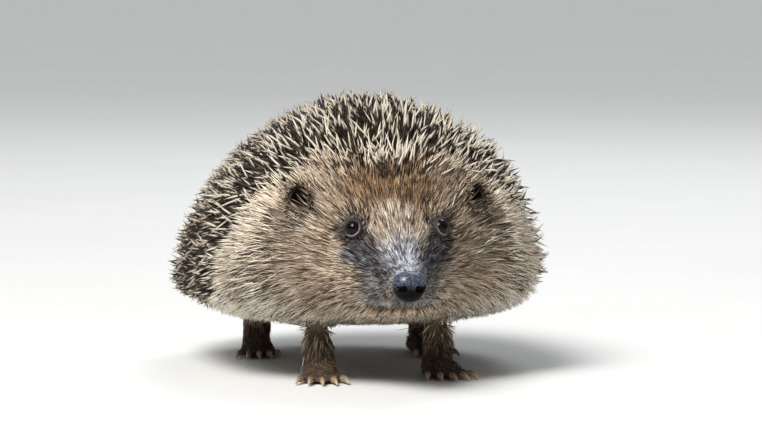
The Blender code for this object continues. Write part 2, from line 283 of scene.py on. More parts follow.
# %% [markdown]
# ## Finishes
#
# A material is a tree of nodes, which could be placed by hand in the shader editor. In a
# script each node would take several lines. A small class adds and links them instead, so
# that a pattern reads as a formula.

# %% Node helpers
def srgb(red, green, blue):
    def linear(v):
        v /= 255
        return v / 12.92 if v <= 0.04045 else ((v + 0.055) / 1.055) ** 2.4

    return (linear(red), linear(green), linear(blue), 1.0)


class Nodes:
    """Adds nodes to a tree and links them, so that a pattern reads as a formula."""

    def __init__(self, tree):
        self.tree = tree

    def put(self, socket, value):
        if isinstance(value, bpy.types.NodeSocket):
            self.tree.links.new(value, socket)
        else:
            socket.default_value = value

    def add(self, kind, inputs=(), **settings):
        """A node with its settings and its inputs, given in their order or by their keys."""
        node = self.tree.nodes.new(kind)
        for name, value in settings.items():
            setattr(node, name, value)
        for key, value in inputs.items() if isinstance(inputs, dict) else enumerate(inputs):
            self.put(node.inputs[key], value)
        return node

    def math(self, operation, a, b=0.0, c=0.0):
        return self.add("ShaderNodeMath", (a, b, c), operation=operation).outputs[0]

    def distance(self, a, b):
        node = self.add("ShaderNodeVectorMath", (a, b), operation="DISTANCE")
        return node.outputs["Value"]

    def to_line(self, place, a, b):
        """Distance from a place to the straight line between a and b."""
        a, b = Vector(a), Vector(b)
        reach = (b - a).length_squared
        dot = self.add("ShaderNodeVectorMath", (place, (b - a) / reach), operation="DOT_PRODUCT")
        share = self.math("SUBTRACT", dot.outputs["Value"], a.dot(b - a) / reach)
        share.node.use_clamp = True
        on_line = self.add("ShaderNodeVectorMath", (b - a, share, a), operation="MULTIPLY_ADD")
        return self.distance(place, on_line.outputs[0])

    def ramp(self, value, low, high, out_low=0.0, out_high=1.0):
        node = self.add("ShaderNodeMapRange", (value, low, high, out_low, out_high),
                        interpolation_type="SMOOTHSTEP")
        return node.outputs["Result"]

    def mix(self, share, a, b):
        """A blend of two colours, whose sockets on this node have the numbers 6 and 7."""
        inputs = {0: share, 6: a, 7: b}
        return self.add("ShaderNodeMix", inputs, data_type="RGBA").outputs[2]

    def noise(self, place, scale, detail=2.0, roughness=0.5):
        inputs = dict(Vector=place, Scale=scale, Detail=detail, Roughness=roughness)
        return self.add("ShaderNodeTexNoise", inputs).outputs["Fac"]

    def cells(self, place, scale, feature):
        inputs = dict(Vector=place, Scale=scale)
        return self.add("ShaderNodeTexVoronoi", inputs, feature=feature).outputs["Distance"]

    def here(self):
        return self.add("ShaderNodeTexCoord").outputs["Object"]

    def attribute(self, name, output="Fac"):
        return self.add("ShaderNodeAttribute", attribute_name=name).outputs[output]

    def split(self, vector):
        return self.add("ShaderNodeSeparateXYZ", (vector,)).outputs

    def bump(self, shader, height, strength, distance):
        node = self.add("ShaderNodeBump", dict(Strength=strength, Distance=distance, Height=height))
        self.put(shader.inputs["Normal"], node.outputs["Normal"])


def new_group(name, inputs, outputs):
    group = bpy.data.node_groups.new(name, "ShaderNodeTree")
    for way, sockets in (("INPUT", inputs), ("OUTPUT", outputs)):
        for label, kind in sockets:
            group.interface.new_socket(label, in_out=way, socket_type=kind)
    return group, group.nodes.new("NodeGroupInput"), group.nodes.new("NodeGroupOutput")


print("mid grey in linear light", round(srgb(128, 128, 128)[0], 3))


# %% [markdown]
# ## Markings
#
# Hair and skin share one set of markings: a silver bridge to the nose, a grey mask round
# the eyes, a tan brow, pale cheeks and a brown ruff and skirt. They could be painted as an
# image. Layers of soft spots and streaks need none, and each can be moved or tinted alone.
# Three layers are painted light and shade: a shade on the ruff behind the cheek, a shadow
# line before the ear, and painted light that makes the pale hair low down paler still. A
# node group reads where a hair is rooted, so that a hair keeps one place's colour over its
# whole length.

# %% The markings
MARKS = ("Light", "Dark", "Tip")        # pale hairs, dark hairs and the pale hairs' tips
BODY_MARKS = ((188, 161, 133), (36, 26, 20), (242, 228, 208))
WANDER = 7.0                            # how far the edges of the markings stray


def make_markings():
    group, entry, leave = new_group("markings", [("Root", "NodeSocketVector")],
                                    [(mark, "NodeSocketColor") for mark in MARKS])
    n = Nodes(group)
    across, back, up = n.split(entry.outputs["Root"])
    side = n.math("ABSOLUTE", n.math("MULTIPLY", across, 1 / MM))
    behind = n.math("SUBTRACT", n.math("MULTIPLY", back, 1 / MM), float(NOSE_TIP))
    level = n.math("MULTIPLY", up, 1 / MM)
    place = n.add("ShaderNodeCombineXYZ", (side, behind, level)).outputs[0]
    wander = n.noise(entry.outputs["Root"], 260.0)
    wander = n.math("MULTIPLY", n.math("SUBTRACT", wander, 0.5), WANDER)

    def spot(centre, near, far):
        return n.ramp(n.math("ADD", n.distance(place, centre), wander), far, near)

    def streak(start, end, near, far):
        return n.ramp(n.math("ADD", n.to_line(place, start, end), wander), far, near)

    layers = {
        "face": (n.ramp(behind, 60, 46), (200, 173, 144), (54, 40, 30), (242, 226, 204)),
        # pale belly hair, made paler still low down as painted light where the skirt is in shade
        "pale belly and painted fill light": (n.ramp(level, 43, 30), (240, 212, 178), (64, 47, 35), (255, 250, 236)),
        # painted shade: the ruff behind the cheek is darker
        "painted shade behind the cheek": (streak((43, 54, 47), (58, 76, 44), 7, 18),
                             (142, 118, 95), (28, 20, 16), (244, 230, 210)),
        "cheek": (spot((25, 33, 40), 8, 18), (224, 196, 164), (98, 76, 59), (248, 234, 214)),
        # painted shadow: a dark line before the ear, where the cheek's hair overlaps
        "painted shadow before the ear": (streak((26, 43, 60), (27, 44, 51), 1.0, 4.5),
                           (100, 82, 68), (30, 23, 19), (150, 132, 112)),
        "forehead": (spot((0, 40, 69), 12, 24), (148, 120, 93), (42, 31, 23), (206, 178, 146)),
        "tan brow": (spot((0, 37, 66), 8, 18), (128, 98, 68), (34, 24, 17), (190, 156, 118)),
        "flecks": (spot((4, 38, 69), 1, 5), (112, 82, 58), (36, 25, 19), (164, 130, 100)),
        "between the eyes": (streak((0, 20, 48.5), (0, 27, 53), 3.5, 8.5),
                             (204, 180, 153), (84, 67, 53), (244, 232, 215)),
        "grey mask": (streak((8, 14, 41), (13, 24, 47), 4, 8.5),
                      (104, 98, 100), (30, 29, 32), (156, 152, 152)),
        "lip": (spot((11, 15, 32), 5, 10), (158, 152, 149), (58, 55, 56), (216, 211, 207)),
        "tear line": (streak((11.5, 25, 51), (8, 17, 43.5), 0.8, 3.0),
                      (88, 78, 71), (30, 26, 24), (136, 126, 118)),
        "eye": (spot((15.5, 29, 54), 3.8, 7.0), (100, 90, 84), (28, 25, 25), (140, 130, 122)),
        "round the nose": (streak((0, 5, 36), (0, 9, 36), 5, 9),
                           (142, 135, 133), (50, 47, 48), (190, 184, 182)),
        "silver bridge": (streak((0, 8, 42), (0, 17, 46), 1.5, 8.5),
                          (202, 201, 206), (82, 80, 85), (244, 245, 250)),
        "legs": (n.ramp(level, 18, 12), (126, 104, 84), (58, 45, 36), (164, 142, 118)),
    }
    marks = [srgb(*colour) for colour in BODY_MARKS]
    for share, *colours in layers.values():
        marks = [n.mix(share, mark, srgb(*colour)) for mark, colour in zip(marks, colours)]
    for label, mark in zip(MARKS, marks):
        n.put(leave.inputs[label], mark)
    return group


markings = make_markings()
print("markings made with", len(markings.nodes), "nodes")


# %% [markdown]
# ## Hair, horn and skin
#
# Hair is matt, darker at its root, and on some hairs pale at the tip. A spine is horn with
# one dark band between a dull root and a pale tip. Bare skin round the eyes and in the ears
# is brown and grained. Under the coat the skin is painted dark as its shade, its hollows are
# painted near black as shade, and the wet lower lids carry a painted highlight. A hair
# shader is meant for curves. These strands are solid, so a plain Principled BSDF reads two
# numbers kept on each: how far along it a point lies, and how pale the strand is.

# %% Materials of hair, spines and skin
def new_material(name, colour, roughness, gloss=None):
    """A material, its nodes and its shader; gloss is the strength of its reflections."""
    made = bpy.data.materials.new(name)
    made.use_nodes = True
    shader = made.node_tree.nodes["Principled BSDF"]
    shader.inputs["Base Color"].default_value = colour
    shader.inputs["Roughness"].default_value = roughness
    if gloss is not None:
        shader.inputs["Specular IOR Level"].default_value = gloss
    return made, Nodes(made.node_tree), shader


def hair_material():
    made, n, shader = new_material("hair", srgb(180, 156, 130), 0.55, 0.22)
    marks = n.add("ShaderNodeGroup", node_tree=markings)
    n.put(marks.inputs["Root"], n.attribute("root", "Vector"))
    light, dark, tip = marks.outputs
    along, tone = n.attribute("along"), n.attribute("tone")
    shaft = n.mix(n.ramp(tone, 0.10, 0.60), dark, light)
    pale = n.math("MULTIPLY", n.ramp(along, 0.30, 0.70), n.ramp(tone, 0.55, 0.85))
    shaft = n.mix(pale, shaft, tip)
    n.put(shader.inputs["Base Color"], n.mix(n.ramp(along, 0.0, 0.4, 0.8, 0.0), shaft, dark))
    return made


def spine_material():
    """Horn with a dark band between a dull root and a pale tip; the band wanders."""
    made, n, shader = new_material("spine_horn", srgb(200, 186, 160), 0.42, 0.22)
    along, tone = n.attribute("along"), n.attribute("tone")
    shifted = n.math("ADD", along, n.math("MULTIPLY", n.math("SUBTRACT", tone, 0.5), 0.32))
    band = n.math("MULTIPLY", n.ramp(shifted, 0.30, 0.46), n.ramp(shifted, 0.80, 0.70))
    root = n.mix(n.ramp(tone, 0, 1), srgb(88, 75, 60), srgb(150, 136, 114))
    tip = n.mix(n.ramp(tone, 0, 1), srgb(158, 142, 120), srgb(208, 197, 178))
    shaft = n.mix(n.ramp(shifted, 0.5, 0.6), root, tip)
    n.put(shader.inputs["Base Color"], n.mix(band, shaft, srgb(36, 27, 22)))
    return made


def skin_material():
    made, n, shader = new_material("hedgehog_skin", srgb(80, 66, 58), 0.62, 0.25)
    place = n.here()
    marks = n.add("ShaderNodeGroup", node_tree=markings)
    n.put(marks.inputs["Root"], place)
    light, dark, _ = marks.outputs
    # painted shade: skin under the hair is mostly the dark hairs' colour, and under the spines near
    # black, as the shade of the coat over it
    shade_under_coat = n.mix(0.12, dark, light)
    shade_under_coat = n.mix(n.attribute("spiny"), shade_under_coat, srgb(20, 15, 13))
    bare_colour = n.mix(n.noise(place, 900.0, 3.0), srgb(52, 42, 38), srgb(92, 74, 66))
    colour = n.mix(n.attribute("bare"), shade_under_coat, bare_colour)
    # painted shade: the hollows of the lids, the mouth line and the ears are darkened near black
    colour = n.mix(n.attribute("hollow"), colour, srgb(14, 11, 11))
    # painted highlight: a pale line along the wet lower lid
    colour = n.mix(n.attribute("wet"), colour, srgb(136, 130, 131))
    n.put(shader.inputs["Base Color"], colour)
    n.bump(shader, n.cells(place, 1900.0, "F1"), 0.5, 0.00012)
    return made


def floor_material():
    made, n, shader = new_material("studio_floor", srgb(226, 224, 220), 0.7)
    cloud = n.noise(n.here(), 9.0, 3.0)
    n.put(shader.inputs["Base Color"], n.mix(cloud, srgb(212, 210, 206), srgb(219, 217, 213)))
    return made


hair, spine_horn, skin_finish = hair_material(), spine_material(), skin_material()
floor.data.materials.append(floor_material())
print("finishes:", hair.name, spine_horn.name, skin_finish.name)


# %% [markdown]
# ## One skin
#
# The flesh of the solid model is in parts with thin cuts between them. Their copies are
# puffed up by a hair's breadth so that they overlap, and a voxel remesh melts them into a
# single closed skin. Boolean unions could join them too, but they would leave a sharp seam
# at each joint. A remesh also gives faces of even size, which the next steps need.

# %% Melt the parts into one
FLESH = ["head", "lower_jaw", "neck", "trunk", "spiny_back", "tail"]
FLESH += [f"{kind}{part}_{side}" for kind in ("fore", "hind") for part in ("leg", "foot")
          for side in SIDES]
PUFF = 0.3                              # how far each copy swells
VOXEL = 1.1                             # size of the remesh's cells


def puffed_copy(node):
    """A welded copy of a CAD node, swollen a little along its normals."""
    copy = bpy.data.objects.new(f"copy_of_{node}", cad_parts[node].data.copy())
    bpy.context.scene.collection.objects.link(copy)
    bpy.context.view_layer.objects.active = copy
    copy.select_set(True)
    bpy.ops.object.mode_set(mode="EDIT")
    bpy.ops.mesh.select_all(action="SELECT")
    bpy.ops.mesh.remove_doubles(threshold=0.00002)
    bpy.ops.transform.shrink_fatten(value=PUFF * MM)
    bpy.ops.object.mode_set(mode="OBJECT")
    copy.select_set(False)
    return copy


clear_selection()
copies = [puffed_copy(node) for node in [*FLESH, "eye_left", "eye_right", "nose"]]
for copy in copies:
    copy.select_set(True)
bpy.context.view_layer.objects.active = copies[0]
bpy.ops.object.join()
skin = bpy.context.object
skin.name = "skin"
skin.data.materials.clear()
remesh = skin.modifiers.new("One skin", "REMESH")
remesh.mode = "VOXEL"
remesh.voxel_size = VOXEL * MM
bpy.ops.object.modifier_apply(modifier=remesh.name)
print("skin faces", len(skin.data.polygons))


# %% [markdown]
# ## A mesh as arrays
#
# The skin has too many points to move one at a time, and a sculpting brush can't be
# repeated exactly. foreach_get and foreach_set copy all points at once into an array and
# back, and between the two a whole array is moved by one formula.

# %% Tools that read and write a mesh as arrays
def read(items, field, width, kind=np.float32):
    """One field of all vertices, edges or faces, with a row for each."""
    flat = np.empty(len(items) * width, kind)
    items.foreach_get(field, flat)
    return flat.reshape(-1, width)


def points_of(mesh):
    return read(mesh.vertices, "co", 3).astype(float) / MM


def normals_of(mesh):
    return read(mesh.vertex_normals, "vector", 3).astype(float)


def edges_of(mesh):
    return read(mesh.edges, "vertices", 2, np.int32)


def put_points(mesh, points):
    mesh.vertices.foreach_set("co", (points * MM).astype(np.float32).ravel())
    mesh.update()


def relaxed(points, edges, share, rounds):
    """Moves each point towards the mean of its neighbours, by its own share."""
    count = np.bincount(edges.ravel(), minlength=len(points))[:, None]
    share = np.asarray(share)[:, None] if np.ndim(share) else share
    for _ in range(rounds):
        total = np.stack([
            np.bincount(edges[:, 0], points[edges[:, 1], k], len(points))
            + np.bincount(edges[:, 1], points[edges[:, 0], k], len(points))
            for k in range(3)
        ], 1)
        points = points + share * (total / np.maximum(count, 1) - points)
    return points


def tree_of(points):
    tree = KDTree(len(points))
    for k, point in enumerate(points):
        tree.insert(Vector(point), k)
    tree.balance()
    return tree


def nearest_in(tree, points):
    return np.array([tree.find(Vector(point))[1] for point in points])


print("skin points", len(points_of(skin.data)), "edges", len(edges_of(skin.data)))


# %% [markdown]
# ## Room for the coat
#
# The skin sinks below the outline by the depth of the coat: half a millimetre on the
# snout, a few on the brow and cheeks, eight in the ruff and thirteen under the spines. A
# Displace modifier with a painted weight would move it all in one step, and the deepest
# parts would fold over themselves. Small steps, with smoothing between them, don't fold.

# %% How deep the coat is
COAT_STATIONS = [0, 9, 16, 24, 30, 38, 46, 56, 66, 200]
COAT_DEPTHS = [0.3, 0.5, 1.1, 1.8, 2.3, 3.4, 4.8, 7.0, 8.5, 9.0]
LEG_LEVELS, LEG_DEPTHS = [0, 6, 9, 16], [0.3, 0.4, 1.2, 1.6]
BELLY_DEPTH, SPINE_DEPTH, TAIL_DEPTH = 5.0, 13.0, 1.2

tail_low, tail_high = box_of("tail")
tail_root = at(0, tail_low[1] - NOSE_TIP, tail_high[2])
tail_tip = at(0, tail_high[1] - NOSE_TIP - 1, tail_low[2] + 1.5)


def coat_depth(points):
    level = points[:, 2]
    depth = profile(points, COAT_STATIONS, COAT_DEPTHS)
    belly = smooth_step(27, 18, level) * smooth_step(30, 50, behind_nose(points))
    depth = blend(depth, BELLY_DEPTH, belly)
    depth = blend(depth, SPINE_DEPTH, smooth_step(-6, 11, spine_side(points)))
    depth = blend(depth, np.interp(level, LEG_LEVELS, LEG_DEPTHS), smooth_step(17.5, 15.2, level))
    tail = smooth_step(5.5, 3.5, near_segment(points, tail_root, tail_tip))
    return blend(depth, TAIL_DEPTH, tail * smooth_step(24, 21, level))


depths = coat_depth(np.array([at(0, 5, 38), at(25, 33, 40), at(0, 100, 80)]))
print("depth of the coat at the nose, a cheek and the crown", depths.round(1))


# %% Sink the skin
SINK_STEPS = 8                          # the skin goes down a little at a time
shape = points_of(skin.data)
edges = edges_of(skin.data)
shape = relaxed(shape, edges, 0.5, 3)
put_points(skin.data, shape)
outwards = relaxed(normals_of(skin.data), edges, 0.5, 6)
outer_normals = unit(relaxed(outwards, edges, 0.5, 14))
outer_tree = tree_of(shape)
outline = BVHTree.FromPolygons([tuple(p) for p in shape],
                               [tuple(face.vertices) for face in skin.data.polygons])
depth = relaxed(coat_depth(shape)[:, None].repeat(3, 1), edges, 0.5, 6)[:, :1]
deep = smooth_step(3.5, 8, depth[:, 0]) * smooth_step(14, 18, shape[:, 2])
for _ in range(SINK_STEPS):
    shape = shape - unit(outwards) * (depth + PUFF) / SINK_STEPS
    shape = relaxed(shape, edges, deep * 0.5, 2)
shape = relaxed(shape, edges, deep * 0.5, 12)
print("skin reaches", shape.min(0).round(1), shape.max(0).round(1))


# %% [markdown]
# The snout has to meet the nose pad all round. Skin near the axis of the snout is pushed
# out to a collar a little wider than the pad, and the skin in the middle of the collar is
# pushed back, which leaves a hollow behind the nostrils. The pad could be one mesh with
# the skin, but as a piece of its own it keeps its own wet finish and a crisp edge.

# %% Fit the snout to the nose pad
PAD_FULLER = (1.09, 1.0, 1.05)          # the pad's size against the nose of the solids
COLLAR_STATIONS = [3.5, 6, 9, 13]
COLLAR_WIDTHS = np.array([0.80, 0.97, 1.08, 1.15])
COLLAR_HEIGHTS = np.array([0.80, 0.97, 1.16, 1.25])
HOLLOW_DEPTH, SNOUT_CUT = 4.5, 2.5      # how far skin goes back in the middle and at the end

pad_low, pad_high = box_of("nose")
pad_half, pad_middle = (pad_high - pad_low) / 2 * PAD_FULLER, (pad_high + pad_low) / 2
behind = behind_nose(shape)
wide = np.interp(behind, COLLAR_STATIONS, pad_half[0] * COLLAR_WIDTHS)
high = np.interp(behind, COLLAR_STATIONS, pad_half[2] * COLLAR_HEIGHTS)
across = np.hypot((shape[:, 0] - pad_middle[0]) / wide, (shape[:, 2] - pad_middle[2]) / high)
swell = np.where((across < 1) & (across > 0.3), 1 / np.maximum(across, 0.3), 1)
swell = 1 + (swell - 1) * smooth_step(3.0, 4.5, behind) * smooth_step(14, 10, behind)
for axis in (0, 2):
    shape[:, axis] = pad_middle[axis] + (shape[:, axis] - pad_middle[axis]) * swell
pushed_back = HOLLOW_DEPTH * smooth_step(0.8, 0.5, across) * (behind < 5)
shape[:, 1] += pushed_back + SNOUT_CUT * smooth_step(4.5, 2.5, behind)
shape = relaxed(shape, edges, 0.4 * smooth_step(15, 12, behind_nose(shape)), 2)
put_points(skin.data, shape)
print("snout fitted round a pad of", (pad_half * 2).round(1))


# %% [markdown]
# ## Eyelids
#
# The skin is refined round each eye. Skin that lies within the eyeball's reach is drawn
# out over it as a lid, and skin in front of the pupil is pushed inside, which leaves a
# round opening with a rim. Lids could be rings of their own, but a seam would show between
# them and the face. Skin that is drawn over the ball has none.

# %% Refine the face
GAZE = {side: unit(np.array([sign * 0.58, -0.76, 0.30])) for side, sign in SIDES.items()}
EAR_FACES = {side: unit(np.array([sign * 0.60, -0.76, 0.22])) for side, sign in SIDES.items()}


def edit_faces(obj, chosen, change):
    """Selects some of an object's faces in edit mode and makes a change to them."""
    clear_selection()
    bpy.context.view_layer.objects.active = obj
    obj.select_set(True)
    for items in (obj.data.vertices, obj.data.edges):
        items.foreach_set("select", np.zeros(len(items), bool))
    obj.data.polygons.foreach_set("select", chosen)
    bpy.ops.object.mode_set(mode="EDIT")
    bpy.ops.mesh.select_mode(type="FACE")
    change()
    bpy.ops.object.mode_set(mode="OBJECT")


def refine(centre, reach):
    """Halves the skin's faces within reach of a place."""
    middles = read(skin.data.polygons, "center", 3) / MM
    edit_faces(skin, np.linalg.norm(middles - centre, axis=1) < reach,
               lambda: bpy.ops.mesh.subdivide(number_cuts=1, smoothness=0.0))


for eye in eyes.values():
    for reach in (9.0, 5.5, 4.2):
        refine(eye, reach)
refine(at(0, 16, 29), 12.0)

shape = points_of(skin.data)
edges = edges_of(skin.data)
shape = relaxed(shape, edges, smooth_step(12, 9, near_eyes(shape)) * 0.5, 8)
print("points in the skin", len(shape))


# %% Wrap the lids
OPENING = 2.55                          # radius of the opening between the lids
LID = 0.30                              # thickness of a lid
LID_REACH = 2.0                         # skin this far outside a lid still follows it
RIM = math.degrees(math.asin(OPENING / EYE_RADIUS))

# masks for the skin's finish: bare lid skin, painted shade in the hollows, and a painted highlight
# on the wet lower lid
bare, hollow, rim_wet = (np.zeros(len(shape)) for _ in range(3))
for side, sign in SIDES.items():
    out = shape - eyes[side]
    far = np.linalg.norm(out, axis=1)
    cosine = (out @ GAZE[side]) / np.maximum(far, 1e-6)
    angle = np.degrees(np.arccos(np.clip(cosine, -1, 1)))
    lid = EYE_RADIUS + 0.06 + LID * smooth_step(RIM - 2, RIM + 12, angle)
    wanted = np.where(angle < RIM, EYE_RADIUS - 0.6, np.maximum(far, lid))
    near = (far < EYE_RADIUS + LID + LID_REACH) & (angle < 125)
    shape = np.where(near[:, None], eyes[side] + unit(out) * wanted[:, None], shape)
    ring = smooth_step(EYE_RADIUS + 0.9, EYE_RADIUS + 0.45, far)
    bare = np.maximum(bare, ring * smooth_step(82, 74, angle))
    # painted highlight: a pale line on the wet edge along the lower lid and at the inner corner
    inner = unit(np.array([-sign * 0.50, -0.2, -0.84]))
    low = smooth_step(-0.15, 0.75, unit(out - GAZE[side] * (cosine * far)[:, None]) @ inner)
    wet = np.exp(-(((angle - RIM - 2) / 3.4) ** 2)) * (far < EYE_RADIUS + 1) * low
    rim_wet = np.maximum(rim_wet, wet)
    shade = 0.6 * smooth_step(80, 70, angle) * (far < EYE_RADIUS + 0.6)
    hollow = np.maximum(hollow, shade * (1 - wet))
put_points(skin.data, shape)
print("lids wrapped round openings", 2 * OPENING, "across")


# %% [markdown]
# ## Mouth
#
# The line of the lips follows the cut between head and lower jaw in the solid model. The
# skin near that cut is drawn in to a shallow groove and painted dark as shade. The skin
# behind each ear cup is drawn in too, to make room for it, and is painted dark as shade. An
# open mouth would have to be cut out and lined. A closed one only needs this groove.

# %% Draw in the mouth line and the ear hollows
GROOVE_DEPTH, GROOVE_WIDTH = 0.8, 0.7
EAR_HOLLOW_DEPTH = 2.2


def surface_of(node):
    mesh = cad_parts[node].data
    return BVHTree.FromPolygons([tuple(v) for v in points_of(mesh)],
                                [tuple(face.vertices) for face in mesh.polygons])


def off_axis(points, side):
    """How far points lie before an ear, and how far off the line that it faces along."""
    out = points - ears[side]
    forward = out @ EAR_FACES[side]
    return forward, np.linalg.norm(out - forward[:, None] * EAR_FACES[side], axis=1)


jaw_surface, head_surface = surface_of("lower_jaw"), surface_of("head")
level = shape[:, 2]
groove = np.zeros(len(shape))
for k in np.nonzero((behind_nose(shape) < 29) & (level < 36) & (level > 20))[0]:
    to_jaw = jaw_surface.find_nearest(Vector(shape[k]))[3]
    to_head = head_surface.find_nearest(Vector(shape[k]))[3]
    groove[k] = math.exp(-(((to_jaw - to_head) / GROOVE_WIDTH) ** 2)) * (to_jaw < 3.0)
groove *= smooth_step(27.0, 24.0, behind_nose(shape))
shape = shape - normals_of(skin.data) * (groove * GROOVE_DEPTH)[:, None]
# painted shade: the mouth line is darkened
hollow = np.maximum(hollow, groove * 0.9)
for side in SIDES:
    forward, away = off_axis(shape, side)
    inside = smooth_step(4.6, 3.4, away) * (np.abs(forward) < 9)
    shape = shape - EAR_FACES[side] * (EAR_HOLLOW_DEPTH * inside)[:, None]
    # painted shade: the hollow behind each ear cup is darkened
    hollow = np.maximum(hollow, inside)
put_points(skin.data, shape)
skin.data.shade_smooth()
skin.data.materials.append(skin_finish)
print("mouth line points", int((groove > 0.3).sum()))


# %% [markdown]
# ## Ears
#
# A young hedgehog's ears are low round cups, nearly lost in the hair. Each is modelled as
# a ball that is opened at the front, drawn back into the head, given a wall and joined to
# the skin, where hair hides the place at which they meet. An ear could also be pulled out
# of the head's skin, but a ball with a Solidify modifier gives a thin even wall and a
# clean rim.

# %% Model the ear cups
EAR_HALF = np.array([4.5, 4.0, 5.2])
EAR_WALL = 0.9
EAR_SINK = 0.6                          # how far the cup sits back in the head


def mark(obj, **layers):
    """Gives a piece named attributes for its materials, with one number for each vertex."""
    for name, values in layers.items():
        layer = obj.data.attributes.new(name, "FLOAT", "POINT")
        layer.data.foreach_set("value", np.full(len(obj.data.vertices), values, np.float32))


def facing(direction, axis, up):
    """The turn that brings an axis of a piece into a direction."""
    return np.array(Vector(direction).to_track_quat(axis, up).to_matrix())


def ear_cup(side):
    clear_selection()
    bpy.ops.mesh.primitive_uv_sphere_add(segments=28, ring_count=20, radius=1)
    cup = bpy.context.object
    cup.name = f"ear_cup_{side}"
    edit_faces(cup, [face.center.y < -0.40 for face in cup.data.polygons],
               lambda: bpy.ops.mesh.delete(type="FACE"))
    points = np.array([v.co for v in cup.data.vertices])
    # narrower and longer behind, with a rim that stands up a little
    behind = np.clip(points[:, 1], 0, 1)
    points[:, [0, 2]] *= (1 - 0.25 * behind)[:, None]
    points[:, 1] += behind * 0.9
    points[:, 2] += 0.10 * (points[:, 1] < -0.1) * points[:, 2]
    turn = facing(-EAR_FACES[side], "Y", "Z")
    put_points(cup.data, (points * EAR_HALF) @ turn.T + ears[side] - EAR_FACES[side] * EAR_SINK)
    wall = cup.modifiers.new("Wall", "SOLIDIFY")
    wall.thickness = EAR_WALL * MM
    wall.offset = -1
    bpy.ops.object.modifier_apply(modifier=wall.name)
    soften = cup.modifiers.new("Round rim", "SUBSURF")
    soften.levels = soften.render_levels = 1
    bpy.ops.object.modifier_apply(modifier=soften.name)
    cup.data.shade_smooth()
    cup.data.materials.append(skin_finish)
    # painted shade: the cup is darkened inside, most deeply towards its back
    forward, away = off_axis(points_of(cup.data), side)
    inside = np.maximum(0.5, smooth_step(-3.0, 1.0, -forward)) * smooth_step(6.0, 4.4, away)
    mark(cup, bare=1, hollow=inside * 0.95, wet=0, spiny=0)
    return cup


# where the skin is painted near black as the shade under the spines
spiny = smooth_step(3, 13, spine_side(shape))
mark(skin, bare=bare, hollow=hollow, wet=rim_wet, spiny=spiny)
cups = [ear_cup(side) for side in SIDES]
clear_selection()
for piece in (*cups, skin):
    piece.select_set(True)
bpy.context.view_layer.objects.active = skin
bpy.ops.object.join()
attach(skin, "root")
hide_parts(*FLESH, "ear_left", "ear_right")
print("skin with ears has", len(skin.data.polygons), "faces")


# %% [markdown]
# ## Eyes
#
# Small, black and bulging, with a brown iris that only shows close by. A ball is turned so
# that its pole looks along the gaze, and the cap round the pole is drawn out a little as
# the cornea. The surface is very smooth, which is all that a wet gloss needs. A clear
# shell over an iris disc would be truer, but in so dark an eye it would hardly be seen.

# %% Model the eyes
CORNEA_RISE, CORNEA_WIDTH = 0.035, 0.42
EYE_PLAY = 0.02                         # the eyeball is this much smaller than the solid one


def eye_material():
    made, n, shader = new_material("eye_black", srgb(12, 9, 8), 0.06, 0.38)
    pupil = n.attribute("from_pupil")
    iris = n.mix(n.noise(n.here(), 3200.0), srgb(10, 7, 6), srgb(24, 16, 12))
    iris = n.mix(n.ramp(pupil, 0.30, 0.36), srgb(4, 4, 5), iris)
    n.put(shader.inputs["Base Color"], n.mix(n.ramp(pupil, 0.55, 0.8), iris, srgb(10, 8, 8)))
    shader.inputs["IOR"].default_value = 1.31
    return made


def model_eye(side, finish):
    clear_selection()
    bpy.ops.mesh.primitive_uv_sphere_add(segments=48, ring_count=32, radius=1)
    ball = bpy.context.object
    ball.name = f"eyeball_{side}"
    points = np.array([v.co for v in ball.data.vertices])
    from_pupil = np.arccos(np.clip(points[:, 2], -1, 1)) / (math.pi / 2)
    bulge = 1 + CORNEA_RISE * np.exp(-((from_pupil / CORNEA_WIDTH) ** 2))
    points = points * bulge[:, None] * (EYE_RADIUS - EYE_PLAY)
    put_points(ball.data, points @ facing(GAZE[side], "Z", "Y").T + eyes[side])
    mark(ball, from_pupil=from_pupil)
    ball.data.shade_smooth()
    ball.data.materials.append(finish)
    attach(ball, "root")
    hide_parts(f"eye_{side}")
    return ball


eye_black = eye_material()
eyeballs = [model_eye(side, eye_black) for side in SIDES]
print("eyes", [ball.name for ball in eyeballs])


# %% [markdown]
# ## Nose
#
# The wet nose pad is a rounded block, wider above than below, with a groove down the
# middle and a comma-shaped nostril on each side. A fine ball is pressed into that shape,
# and its surface is grained like leather under a wet coat. Its top is painted lighter and
# bluer as a sheen, and its nostrils are painted near black as shade. It could be sculpted
# with brushes. Formulas on the ball's points keep its two sides alike.

# %% Model the nose pad
NOSTRIL = ((0.47, -0.10, 0.19), (0.62, -0.14, 0.16), (0.77, -0.04, 0.12), (0.88, 0.14, 0.08))
NOSTRIL_DEPTH, NOSTRIL_SPREAD = 0.42, 0.12      # in halves of the pad, as all in this cell
PHILTRUM_DEPTH, PHILTRUM_WIDTH = 0.10, 0.10


